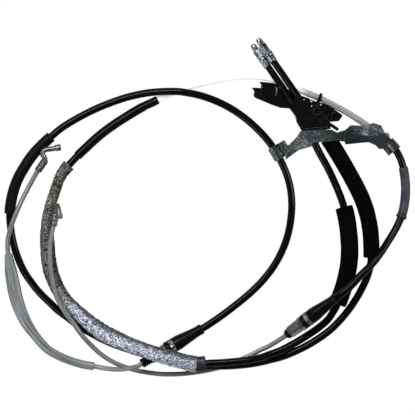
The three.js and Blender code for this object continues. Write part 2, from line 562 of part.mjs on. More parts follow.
// Front end: rod with a round tip, a hexagon nut, and a flanged ferrule on the front tube
function addFrontFitting(side) {
  const route = cables[side];
  const at = places[side];
  const tip = front.tipRadius;
  const neck = tip - 0.75;
  const socketBore = boreFor(wireRadius, 12);
  const socketRadius = socketBore + front.socketWall;
  const socketBottom = rodSocketStart + front.socketFloor;
  const rod = [
    [0, 0], [tip * 0.55, 0], [tip * 0.9, tip * 0.35], [tip, tip * 0.8],
    [tip, front.tipLength - faceGap], [neck, front.tipLength - faceGap], [neck, rodSocketStart],
    [socketRadius, rodSocketStart], [socketRadius, rodLength], [socketBore, rodLength],
    [socketBore, socketBottom], [0, socketBottom],
  ];
  addMesh(`rod_end_${side}`, seat(lathe(rod, 12), route, at.tip), finish(colours.zinc, 0.3, 0.9));

  const nutShape = new THREE.Shape(ring(front.nutAcross / 2 / Math.cos(Math.PI / 6), 6));
  nutShape.holes.push(new THREE.Path(ring(boreFor(neck, 12), 12).reverse()));
  const nut = new THREE.ExtrudeGeometry(nutShape, { depth: front.nutLength, bevelEnabled: false });
  nut.rotateX(-Math.PI / 2);
  addMesh(`rod_nut_${side}`, seat(nut, route, at.nutStart), finish(colours.zinc, 0.3, 0.9));

  const rodBore = boreFor(socketRadius, 12);
  const tubeBore = boreFor(frontTubeRadius, 12);
  const length = front.flangeLength + front.ferruleLength;
  const seatStart = length - front.tubeSeat;
  const ferrule = [
    [rodBore, 0], [front.flangeRadius - 0.5, 0], [front.flangeRadius, 0.7],
    [front.flangeRadius, front.flangeLength - 0.7], [front.ferruleRadius + 0.3, front.flangeLength],
    [front.ferruleRadius, front.flangeLength + 1], [front.ferruleRadius, length], [tubeBore, length],
    [tubeBore, seatStart - faceGap], [rodBore, seatStart - faceGap],
  ];
  addMesh(`ferrule_${side}`, turned(route, at.flangeStart, ferrule, 12), finish(colours.zinc, 0.25, 0.9));
}

function lathe(profile, segments) {
  const points = profile.map(([radius, along]) => new THREE.Vector2(radius, along));
  return new THREE.LatheGeometry(points, segments);
}

// Hook end: a crimped sleeve on the wire, and a bent rod with a barrel head
function addHook(side, path) {
  const route = cables[side];
  const at = places[side];
  const bore = boreFor(wireRadius, 12);
  const body = toSolid(sweepRoute(route, at.crimp, at.hook, crimp.radius, 0, sleeveSides));
  const wireRoom = toSolid(sweepRoute(route, at.crimp - 2, at.wireEnd + faceGap, bore, 0, roundSides));
  const curve = new THREE.CatmullRomCurve3(path.map(vector), false, 'catmullrom', 0.5);
  const steps = 16;
  const rodPoints = Array.from({ length: steps + 1 }, (_, i) => curve.getPointAt(i / steps));
  const backward = curve.getTangentAt(0).multiplyScalar(-crimp.rodSeat);
  rodPoints.unshift(rodPoints[0].clone().add(backward));
  const rod = toSolid(sweep(rodPoints, hook.rodRadius, 0, 10));
  const endDirection = curve.getTangentAt(1);
  const barrel = lathe([
    [0, 0], [hook.barrelRadius - 0.7, 0], [hook.barrelRadius, 0.8],
    [hook.barrelRadius, hook.barrelLength - 0.8], [hook.barrelRadius - 0.7, hook.barrelLength],
    [0, hook.barrelLength],
  ], 14);
  barrel.applyQuaternion(new THREE.Quaternion().setFromUnitVectors(new THREE.Vector3(0, 1, 0), endDirection));
  const barrelStart = curve.getPointAt(1).addScaledVector(endDirection, -hook.barrelLength + 1.2);
  barrel.translate(...barrelStart.toArray());
  const roomPoints = [rodPoints[0].clone().addScaledVector(backward, gap / crimp.rodSeat), ...rodPoints];
  const rodRoom = toSolid(sweep(roomPoints, hook.rodRadius + gap, 0, 10));
  const crimped = toGeometry(body.subtract(wireRoom).subtract(rodRoom));
  addMesh(`crimp_${side}`, crimped, finish(colours.crimpSteel, 0.5, 0.6));
  addMesh(`hook_${side}`, toGeometry(rod.add(toSolid(barrel))), finish(colours.zinc, 0.45, 0.8));
}

// Sheet steel bracket: flat facets folded along shared edges, with a crimped loop round each cable
function foldedSheet(points, facets, thickness) {
  const positions = [];
  for (const [x, y, z] of points) positions.push(x, y, z);
  for (const [x, y, z] of points) positions.push(x, y, z - thickness);
  const count = points.length;
  const index = [];
  const edges = new Map();
  for (const [a, b, c] of facets) {
    index.push(a, b, c, a + count, c + count, b + count);
    for (const [p, q] of [[a, b], [b, c], [c, a]]) edges.set(`${p},${q}`, [p, q]);
  }
  for (const [p, q] of edges.values()) {
    if (!edges.has(`${q},${p}`)) index.push(p, p + count, q + count, p, q + count, q);
  }
  const geometry = new THREE.BufferGeometry();
  geometry.setAttribute('position', new THREE.Float32BufferAttribute(positions, 3));
  geometry.setIndex(index);
  return toSolid(geometry);
}

// The loop of sheet that a cable passes through, with its pressed seams and the tab that joins it
function crimpedLoop(side, towards) {
  const route = cables[side];
  const at = places[side].clamp;
  const half = clamp.halfLength[side];
  const outer = boreFor(conduitRadius, sleeveSides) + clamp.wall;
  let solid = toSolid(sweepRoute(route, at - half, at + half, outer, 0, sleeveSides));
  const centre = route.pointAt(at);
  const along = route.directionAt(at);
  const across = towards.clone().sub(centre).setZ(0);
  across.addScaledVector(along, -across.dot(along)).normalize();
  const up = new THREE.Vector3().crossVectors(along, across);
  if (up.z < 0) up.negate();
  const basis = new THREE.Matrix4().makeBasis(across, along, new THREE.Vector3().crossVectors(across, along));
  const tabReach = clamp.tabReach[side];
  const tab = new THREE.BoxGeometry(tabReach, half * 2, clamp.tabHalf * 2);
  tab.translate(tabReach / 2 + outer - clamp.wall, 0, 0);
  tab.applyMatrix4(basis).translate(...centre.toArray());
  solid = solid.add(toSolid(tab));
  for (const seamAt of clamp.seams) {
    const reach = outer + seamAt;
    if (reach > tabReach + outer - clamp.wall) continue;
    const seam = new THREE.CylinderGeometry(plate.ridge, plate.ridge, half * 2, 8);
    seam.translate(reach, 0, 0);
    seam.applyMatrix4(basis).translate(...centre.clone().addScaledVector(up, clamp.tabHalf).toArray());
    solid = solid.add(toSolid(seam));
  }
  return solid;
}

function addBracket() {
  const points = [
    [79.5, 61.2, 8.2], [77.6, 47.4, 7.4], [87.3, 68.4, 13.4], [91.0, 57.2, 13.6],
    [92.6, 76.0, 20.2], [103.5, 60.6, 20.2], [104.2, 64.0, 20.2], [127.1, 66.5, 20.2],
    [124.0, 77.2, 20.2], [113.0, 77.6, 20.2], [128.5, 74.6, 20.2], [136.5, 76.8, 20.2],
    [136.0, 65.4, 20.2], [142.3, 81.8, 19.8], [137.2, 62.6, 19.2], [152.5, 72.1, 18.9],
    [153.2, 64.4, 15.8], [155.5, 81.3, 18.2], [165.3, 84.1, 16.8], [161.0, 71.0, 17.0],
    [160.8, 64.9, 13.8], [173.0, 81.6, 15.2], [176.2, 75.2, 14.2], [178.3, 72.5, 13.4],
    [167.5, 61.9, 11.8], [181.0, 73.8, 12.6], [181.8, 68.2, 11.8], [171.2, 58.2, 10.0],
    [178.2, 58.6, 9.4],
  ];
  const facets = [
    [0, 1, 3], [0, 3, 2], [2, 3, 5], [2, 5, 4], [4, 5, 6], [4, 6, 9], [9, 6, 8], [8, 6, 7],
    [8, 7, 10], [10, 7, 12], [10, 12, 11], [11, 12, 14], [11, 14, 15], [11, 15, 13],
    [13, 15, 17], [15, 14, 16], [17, 15, 19], [17, 19, 18], [15, 16, 19], [19, 16, 20],
    [18, 19, 21], [21, 19, 22], [22, 19, 23], [19, 20, 24], [19, 24, 23], [22, 23, 25],
    [25, 23, 26], [23, 24, 27], [23, 27, 28], [23, 28, 26],
  ];
  const sheet = foldedSheet(points, facets, plate.thickness);
  const left = crimpedLoop('a', vector(clamp.towards.a));
  const right = crimpedLoop('b', vector(clamp.towards.b));
  let solid = sheet.add(left).add(right);
  for (const side of ['a', 'b']) {
    const at = places[side].clamp;
    const reach = clamp.halfLength[side] + 4;
    const radius = boreFor(conduitRadius, sleeveSides);
    const room = sweepRoute(cables[side], at - reach, at + reach, radius, 0, sleeveSides);
    solid = solid.subtract(toSolid(room));
  }
  addMesh('bracket', toGeometry(solid), finish(colours.bracketSteel, 0.45, 0.8));
}

// Front housing: an open tray with side walls, and the moulded block that both cables run through
function wall(points, thickness, bottom, top) {
  const side = (sign) => points.map(([x, y], i) => {
    const before = points[Math.max(i - 1, 0)];
    const after = points[Math.min(i + 1, points.length - 1)];
    const normal = new THREE.Vector2(-(after[1] - before[1]), after[0] - before[0]).normalize();
    return new THREE.Vector2(x + (sign * normal.x * thickness) / 2, y + (sign * normal.y * thickness) / 2);
  });
  return upright(new THREE.Shape([...side(1), ...side(-1).reverse()]), bottom, top);
}

function upright(shape, bottom, top) {
  const depth = top - bottom;
  const geometry = new THREE.ExtrudeGeometry(shape, { depth, bevelEnabled: false, curveSegments: 8 });
  geometry.translate(0, 0, bottom);
  return toSolid(geometry);
}

function outline(points) {
  return new THREE.Shape(points.map(([x, y]) => new THREE.Vector2(x, y)));
}

function addHousing() {
  const { floor, wallHeight, wallThickness, blockHeight } = housing;
  const tray = [
    [50.5, 126.0], [55.0, 125.4], [54.6, 119.5], [44.2, 119.8], [46.8, 115.9], [45.8, 111.8],
    [47.8, 109.5], [57.9, 105.2], [65.5, 102.1], [73.2, 99.5], [81.9, 99.0], [87.5, 91.0],
    [89.0, 85.0], [94.0, 76.3], [122.5, 78.3], [122.3, 85.5], [131.5, 86.4], [135.2, 92.2],
    [128.0, 97.4], [120.5, 102.6], [110.0, 105.6], [98.0, 109.6], [88.5, 113.2], [84.0, 117.0],
    [66.1, 124.5],
  ];
  const block = [
    [81.9, 99.0], [87.5, 91.0], [89.0, 85.0], [94.0, 76.3], [122.5, 78.3], [121.5, 86.5],
    [108.0, 104.0], [100.0, 109.0], [88.5, 112.8],
  ];
  let solid = upright(outline(tray), 0, floor);
  solid = solid.add(upright(outline(block), overlap, blockHeight));
  const lowerWall = [[47.6, 110.8], [58.4, 106.4], [66.0, 103.3], [73.6, 100.6], [83.0, 100.2]];
  const upperWall = [[52.6, 124.6], [66.0, 123.3], [83.2, 116.0], [88.6, 112.0]];
  const rightLower = [[121.0, 86.8], [131.0, 87.4], [133.9, 91.6]];
  const rightUpper = [[133.9, 91.6], [127.3, 96.3], [119.9, 101.4], [108.0, 104.6]];
  for (const line of [lowerWall, upperWall, rightLower, rightUpper]) {
    solid = solid.add(wall(line, wallThickness, overlap, wallHeight));
  }
  // ribs across the tray, the lug by the strap, and the tongue at the lower corner
  const rib = [[60.0, 106.4], [62.5, 123.0]];
  solid = solid.add(wall(rib, housing.ribThickness, overlap, wallHeight - housing.ribDrop));
  const lug = new THREE.Shape();
  lug.absarc(117.8, 98.8, housing.lugRadius, 0, Math.PI * 2);
  solid = solid.add(upright(lug, overlap, wallHeight + housing.lugRise));
  const tongue = [[120.0, 84.5], [125.5, 81.0], [130.5, 77.6]];
  solid = solid.add(wall(tongue, housing.tongueThickness, overlap, wallHeight + housing.tongueRise));

  const { a, b } = places;
  for (const [route, at] of [[cables.a, a], [cables.b, b]]) {
    const joint = at.block + blockJoint;
    const tubeBore = boreFor(frontTubeRadius, sleeveSides);
    const tubeRoom = sweepRoute(route, joint - roomReach, joint, tubeBore, 0, sleeveSides);
    const conduitBore = boreFor(conduitRadius, sleeveSides);
    const conduitRoom = sweepRoute(route, joint - 1, joint + roomReach, conduitBore, 0, sleeveSides);
    solid = solid.subtract(toSolid(tubeRoom)).subtract(toSolid(conduitRoom));
  }
  // notch in the upper edge that the liner lies in
  const liner = sweepRoute(cables.b, cables.b.at('strap', -70), cables.b.at('strap', roomReach),
    boreFor(linerRadius, sleeveSides), 0, sleeveSides);
  solid = solid.subtract(toSolid(liner));
  // round well in the block for the bush
  const well = new THREE.Shape();
  well.absarc(bush.centre[0], bush.centre[1], bush.radius + gap, 0, Math.PI * 2);
  solid = solid.subtract(upright(well, blockHeight - bush.depth, blockHeight + 1));
  addMesh('front_housing', toGeometry(solid), finish(colours.blackPlastic, 0.4));
}

function addHousingTrim() {
  const { blockHeight, floor } = housing;
  const ringShape = new THREE.Shape();
  ringShape.absarc(bush.centre[0], bush.centre[1], bush.radius, 0, Math.PI * 2);
  const hole = new THREE.Path();
  hole.absarc(bush.centre[0], bush.centre[1], bush.hole, 0, Math.PI * 2, true);
  ringShape.holes.push(hole);
  const bushSolid = upright(ringShape, blockHeight - bush.depth + faceGap, blockHeight + bush.lip);
  addMesh('bush', toGeometry(bushSolid), finish(colours.brass, 0.35, 0.9));

  // spring clip: a bent steel strip standing in the tray
  const stripPoints = [
    [67.4, 108.2, floor + 1.1], [67.6, 109.6, floor + 2.2], [68.2, 112.2, 7.4], [69.0, 115.4, 8.8],
    [69.0, 118.2, 8.4], [67.6, 120.4, 6.8], [66.4, 121.0, floor + 1.3],
  ];
  const strip = new THREE.CatmullRomCurve3(stripPoints.map(vector), false, 'catmullrom', 0.5);
  const { spans, radius, sides } = springStrip;
  const section = Array.from({ length: spans + 1 }, (_, i) => strip.getPointAt(i / spans));
  addMesh('spring_clip', sweep(section, radius, 0, sides), finish(colours.zinc, 0.25, 0.9));

  // strap that holds the liner to the housing's upper edge
  const topInside = housing.wallHeight + faceGap;
  const topOutside = topInside + strap.thickness;
  const shape = outline([
    [-strap.reach, strap.foot], [-strap.leg, strap.foot], [-strap.leg, topInside - strap.slope],
    [-strap.bend, topInside], [strap.reach, topInside], [strap.reach, topOutside],
    [-strap.shoulder, topOutside], [-strap.reach, topInside - strap.edge],
  ]);
  const band = new THREE.ExtrudeGeometry(shape, { depth: strap.width, bevelEnabled: false });
  band.translate(0, 0, -strap.width / 2);
  const inward = vector(strap.inward).normalize();
  const upward = new THREE.Vector3(0, 0, 1);
  const side = new THREE.Vector3().crossVectors(inward, upward);
  band.applyMatrix4(new THREE.Matrix4().makeBasis(inward, upward, side));
  band.translate(...strap.centre, 0);
  addMesh('liner_strap', band, finish(colours.blackPlastic, 0.4));
}

for (const side of ['a', 'b']) {
  addWire(side);
  addRearFitting(side);
  addFrontFitting(side);
}
addConduits();
addRubberTube();
addFoil();
addGuard();
addHook('a', hookPathA);
addHook('b', hookPathB);
addBracket();
addHousing();
addHousingTrim();

// the origin is the middle of the bottom of the whole part
const extent = new THREE.Box3().setFromObject(group);
const middle = extent.getCenter(new THREE.Vector3());
group.position.set(-middle.x, -middle.y, -extent.min.z);

export default group;
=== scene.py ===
import math
import bpy
import bmesh
from mathutils import Matrix, Vector, noise


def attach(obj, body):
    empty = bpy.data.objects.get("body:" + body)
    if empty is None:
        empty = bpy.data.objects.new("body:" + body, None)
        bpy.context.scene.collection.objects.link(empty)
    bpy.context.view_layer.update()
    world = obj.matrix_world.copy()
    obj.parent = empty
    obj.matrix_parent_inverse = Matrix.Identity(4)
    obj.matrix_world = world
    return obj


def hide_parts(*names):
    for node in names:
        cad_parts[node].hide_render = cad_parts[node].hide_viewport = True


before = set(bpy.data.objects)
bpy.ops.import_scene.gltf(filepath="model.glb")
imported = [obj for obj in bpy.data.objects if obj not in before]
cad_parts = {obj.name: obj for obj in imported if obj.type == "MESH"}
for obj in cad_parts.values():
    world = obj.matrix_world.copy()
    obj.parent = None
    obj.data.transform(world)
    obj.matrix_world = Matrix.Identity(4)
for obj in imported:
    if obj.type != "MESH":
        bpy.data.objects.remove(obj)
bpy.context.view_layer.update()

print("stage: frame loaded")

mm = 0.001
shift = Vector((0.3423, -0.1860, 0.0045))  # from the routes' own frame to the row frame


def place(point):
    return (Vector(point[:3]) + shift) * mm


# camera straight above the coil
camData = bpy.data.cameras.new("camera")
camData.lens = 260.2
camData.sensor_width = 36
camData.clip_end = 20
camera = bpy.data.objects.new("camera", camData)
camera.location = place((0, 0, 3000))
bpy.context.scene.collection.objects.link(camera)
bpy.context.scene.camera = camera
bpy.context.scene.view_settings.view_transform = "Standard"
bpy.context.scene.view_settings.look = "None"


# colours and materials
def srgb(code):
    values = [int(code[i:i + 2], 16) / 255 for i in (0, 2, 4)]
    return [v / 12.92 if v <= 0.04045 else ((v + 0.055) / 1.055) ** 2.4 for v in values] + [1]


# stops are (position, sRGB hex) pairs of a colour ramp; a link named _6 goes to input number 6
def addNode(tree, kind, settings=None, stops=(), **links):
    node = tree.nodes.new("ShaderNode" + kind)
    for i, (position, code) in enumerate(stops):
        node.color_ramp.elements[i].position = position
        node.color_ramp.elements[i].color = srgb(code)
    for key, value in (settings or {}).items():
        if isinstance(key, int) or key in node.inputs:
            node.inputs[key].default_value = value
        else:
            setattr(node, key, value)
    for key, source in links.items():
        socket = node.inputs[int(key[1:])] if key[1:].isdigit() else node.inputs[key.replace("_", " ")]
        tree.links.new(source, socket)
    return node


def newMaterial(name):
    material = bpy.data.materials.new(name)
    material.use_nodes = True
    tree = material.node_tree
    shader = tree.nodes["Principled BSDF"]
    return material, tree, shader


# scale counts grains to the metre, so 700 is a grain of 1.4 mm: the real grain is finer, and is
# drawn this coarse so that it shows
def grainy(name, dark, light, scale, roughness, bump, metallic=0, specular=0.5):
    material, tree, shader = newMaterial(name)
    coords = addNode(tree, "TexCoord").outputs["Object"]
    pattern = addNode(tree, "TexNoise", {"Scale": scale, "Detail": 5, "Roughness": 0.6}, Vector=coords)
    wide = addNode(tree, "TexNoise", {"Scale": scale * 0.12, "Detail": 3}, Vector=coords)
    colour = addNode(tree, "ValToRGB", stops=[(0.32, dark), (0.68, light)], Fac=wide.outputs["Fac"])
    tree.links.new(colour.outputs["Color"], shader.inputs["Base Color"])
    smooth, rough = roughness
    gloss = addNode(tree, "MapRange", {"To Min": smooth, "To Max": rough}, Value=pattern.outputs["Fac"])
    tree.links.new(gloss.outputs["Result"], shader.inputs["Roughness"])
    relief = addNode(tree, "Bump", {"Distance": bump * mm}, Height=pattern.outputs["Fac"])
    tree.links.new(relief.outputs["Normal"], shader.inputs["Normal"])
    shader.inputs["Metallic"].default_value = metallic
    shader.inputs["Specular IOR Level"].default_value = specular
    return material


finishes = {
    # smooth along its length, with a thin bright line of reflected light
    "conduit": grainy("black extruded plastic", "020202", "060606", 700, (0.17, 0.27), 0.015, specular=0.16),
    # a broader and softer highlight than the conduit's
    "rubber": grainy("moulded black rubber", "030303", "080808", 900, (0.24, 0.38), 0.04, specular=0.14),
    # near black, with small glints on its edges
    "housing": grainy("moulded black plastic", "020202", "060606", 1500, (0.13, 0.24), 0.02, specular=0.3),
    # dull, with an open grain and hardly any shine
    "foam": grainy("closed-cell foam", "040404", "090909", 1100, (0.85, 1.0), 0.3, specular=0.04),
    # a soft sheen over a faint grain
    "sleeve": grainy("thick black sleeve", "040404", "090909", 800, (0.4, 0.55), 0.05, specular=0.12),
    # a bluish dark grey with a satin sheen
    "greyTube": grainy("dark grey plastic tube", "2b2c36", "40414c", 700, (0.4, 0.55), 0.03, specular=0.4),
    # charcoal, lighter than the black tubes
    "collar": grainy("charcoal collar", "1b1c1e", "2b2c2f", 900, (0.35, 0.5), 0.03, specular=0.4),
    # bright, with small dark flecks
    "zinc": grainy("bright zinc plate", "55595c", "b9bcbe", 900, (0.16, 0.32), 0.09, metallic=1),
    # an even grey with blurred reflections
    "dullZinc": grainy("dull zinc plate", "696d6e", "8f9393", 1100, (0.32, 0.5), 0.04, metallic=1),
    # blotched, with duller and shinier patches
    "bracket": grainy("weathered zinc sheet", "3f4445", "7d8284", 170, (0.2, 0.38), 0.8, metallic=0.95),
    # dark metal with a greenish brown cast
    "crimp": grainy("olive passivated steel", "5b5d56", "8a8b82", 900, (0.35, 0.5), 0.05, metallic=0.9),
    # dark and warm, with a dim gleam
    "brass": grainy("tarnished brass", "241f12", "40371f", 1100, (0.3, 0.5), 0.03, metallic=1),
    # satin grey with a clean edge
    "clip": grainy("spring steel clip", "6b6d6c", "9c9f9c", 1200, (0.3, 0.5), 0.03, metallic=1),
    # the lightest metal, with clear reflections
    "brightBit": grainy("bright steel", "b9bcbe", "e2e4e5", 1200, (0.15, 0.3), 0.01, metallic=1),
    # matt and nearly white
    "whiteDot": grainy("white plastic", "cfcfcb", "efefec", 1200, (0.4, 0.5), 0.01),
}


# position in a straightened tube, in mm: along it, then across and up
def layOf(tree):
    return addNode(tree, "Attribute", {"attribute_name": "lay"}).outputs["Vector"]


def worldY(tree):
    position = addNode(tree, "TexCoord").outputs["Object"]
    return addNode(tree, "SeparateXYZ", Vector=position).outputs["Y"]


# a colour mix takes its share at input 0 and its two colours at inputs 6 and 7, and gives output 2


# bright and bluish in its lower half, duller and more finely creased towards its far end; painted shade
# darkens one side across it and the hollows of its creases
def foilFinish():
    material, tree, shader = newMaterial("crinkled aluminium foil")
    lay = layOf(tree)
    far = addNode(tree, "MapRange", {"From Min": -0.105, "From Max": -0.075},
                  Value=worldY(tree)).outputs["Result"]
    creased = addNode(tree, "Mapping", {"Scale": (0.3, 0.34, 0.34)}, Vector=lay)  # about 3 mm each way
    wrinkles = addNode(tree, "TexNoise", {"Scale": 1.0, "Detail": 4, "Roughness": 0.6, "Distortion": 1.2},
                       Vector=creased.outputs["Vector"])
    gathered = addNode(tree, "Mapping", {"Scale": (0.8, 0.1, 0.1)}, Vector=lay)  # 1.25 mm by 10 mm
    pleats = addNode(tree, "TexNoise", {"Scale": 1.0, "Detail": 3, "Roughness": 0.6, "Distortion": 0.3},
                     Vector=gathered.outputs["Vector"])
    pleatShare = addNode(tree, "MapRange", {"To Min": 0.1, "To Max": 0.9}, Value=far).outputs["Result"]
    centred = addNode(tree, "Math", {"operation": "SUBTRACT", 1: 0.5}, _0=pleats.outputs["Fac"])
    height = addNode(tree, "Math", {"operation": "MULTIPLY_ADD"},
                     _0=centred.outputs["Value"], _1=pleatShare, _2=wrinkles.outputs["Fac"])
    relief = addNode(tree, "Bump", {"Distance": 1.7 * mm}, Height=height.outputs["Value"])
    tree.links.new(relief.outputs["Normal"], shader.inputs["Normal"])
    across = addNode(tree, "SeparateXYZ", Vector=lay).outputs["Y"]
    # painted shade: the sleeve's colour darkens towards near black on one side across it
    inner = addNode(tree, "MapRange", {"From Min": 0.5, "From Max": 5.5, "To Max": 0.85}, Value=across)
    base = addNode(tree, "Mix", {"data_type": "RGBA", 6: srgb("ebeeff"), 7: srgb("8f8f87")}, _0=far)
    withSideShade = addNode(tree, "Mix", {"data_type": "RGBA", 7: srgb("3a3b36")},
                    _0=inner.outputs["Result"], _6=base.outputs[2])
    # painted shade in the hollows of the creases: low crease height multiplies the colour darker, high
    # height leaves it as it is
    folds = addNode(tree, "ValToRGB", stops=[(0.38, "56575b"), (0.56, "ffffff")],
                    Fac=height.outputs["Value"])
    shade = addNode(tree, "Mix", {"data_type": "RGBA", "blend_type": "MULTIPLY", 0: 0.9},
                    _6=withSideShade.outputs[2], _7=folds.outputs["Color"])
    tree.links.new(shade.outputs[2], shader.inputs["Base Color"])
    gloss = addNode(tree, "MapRange", {"To Min": 0.24, "To Max": 0.44}, Value=wrinkles.outputs["Fac"])
    tree.links.new(gloss.outputs["Result"], shader.inputs["Roughness"])
    shader.inputs["Metallic"].default_value = 0.75
    return material


# drawn plastic or wire, with faint lines along its length
def drawnPlastic(name, dark, light, metallic, roughness):
    material, tree, shader = newMaterial(name)
    drawn = addNode(tree, "Mapping", {"Scale": (0.03, 0.9, 0.9)}, Vector=layOf(tree))  # 33 mm by 1.1 mm
    lines = addNode(tree, "TexNoise", {"Scale": 1.0, "Detail": 4, "Roughness": 0.6},
                    Vector=drawn.outputs["Vector"])
    colour = addNode(tree, "ValToRGB", stops=[(0.35, dark), (0.66, light)], Fac=lines.outputs["Fac"])
    tree.links.new(colour.outputs["Color"], shader.inputs["Base Color"])
    relief = addNode(tree, "Bump", {"Distance": 0.15 * mm}, Height=lines.outputs["Fac"])
    tree.links.new(relief.outputs["Normal"], shader.inputs["Normal"])
    shader.inputs["Metallic"].default_value = metallic
    shader.inputs["Roughness"].default_value = roughness
    return material


# natural nylon: near white, and greyer towards the bracket; the near-white stretch also has a painted glow,
# an emission that fades out where it turns grey
def linerFinish():
    material, tree, shader = newMaterial("natural nylon liner")
    lay = layOf(tree)
    drawn = addNode(tree, "Mapping", {"Scale": (0.02, 1.1, 1.1)}, Vector=lay)  # 50 mm by 0.9 mm
    lines = addNode(tree, "TexNoise", {"Scale": 1.0, "Detail": 4}, Vector=drawn.outputs["Vector"])
    along = addNode(tree, "SeparateXYZ", Vector=lay).outputs["X"]
    greyShare = addNode(tree, "MapRange", {"From Min": linerGrey["from"], "From Max": linerGrey["to"]},
                     Value=along)
    grey = addNode(tree, "ValToRGB", stops=[(0.35, "7b7a76"), (0.62, "c4c3bf")],
                   Fac=lines.outputs["Fac"])
    colour = addNode(tree, "Mix", {"data_type": "RGBA", 6: srgb("f6f7f7")},
                     _0=greyShare.outputs["Result"], _7=grey.outputs["Color"])
    tree.links.new(colour.outputs[2], shader.inputs["Base Color"])
    shader.inputs["Roughness"].default_value = 0.34
    # painted glow: where the liner is not greyed it gives off a faint white light of its own
    paintedGlow = addNode(tree, "Mix", {"data_type": "RGBA", 6: srgb("ffffff"), 7: srgb("000000")},
                   _0=greyShare.outputs["Result"])
    tree.links.new(paintedGlow.outputs[2], shader.inputs["Emission Color"])
    shader.inputs["Emission Strength"].default_value = 0.35
    return material


finishes["foil"] = foilFinish()
finishes["guard"] = drawnPlastic("light grey plastic sleeve", "5f6466", "a2a7a9", 0.1, 0.32)
finishes["strand"] = drawnPlastic("galvanised wire rope", "6d7072", "a3a6a5", 0.4, 0.38)
print("stage: materials")


# routes of the two cables, in mm, as in the part's solids
front = {"tip": 7.2, "nut": 9.3, "flange": 3.2, "ferrule": 7.2, "tubeSeat": 4.5}
rear = {"boot": 33, "clip": 4, "ring": 4.3, "head": 17.5, "tail": 15, "seat": 11}
sealLength = {"a": 10.5, "b": 4.2}
faceGap = 0.3
frontReach = front["tip"] + front["nut"] + faceGap + front["flange"] + front["ferrule"]


def rearReach(side):
    return rear["boot"] + rear["clip"] + rear["ring"] + rear["head"] + sealLength[side] + faceGap * 2


def straightRun(start, towards, length, name, runIn=5):
    origin = Vector(start)
    direction = (Vector(towards) - origin).normalized()
    distances = ([-runIn] if runIn else []) + [0, length / 2, length, length + 5]
    return [(*(origin + direction * d), name if d == 0 else None) for d in distances]


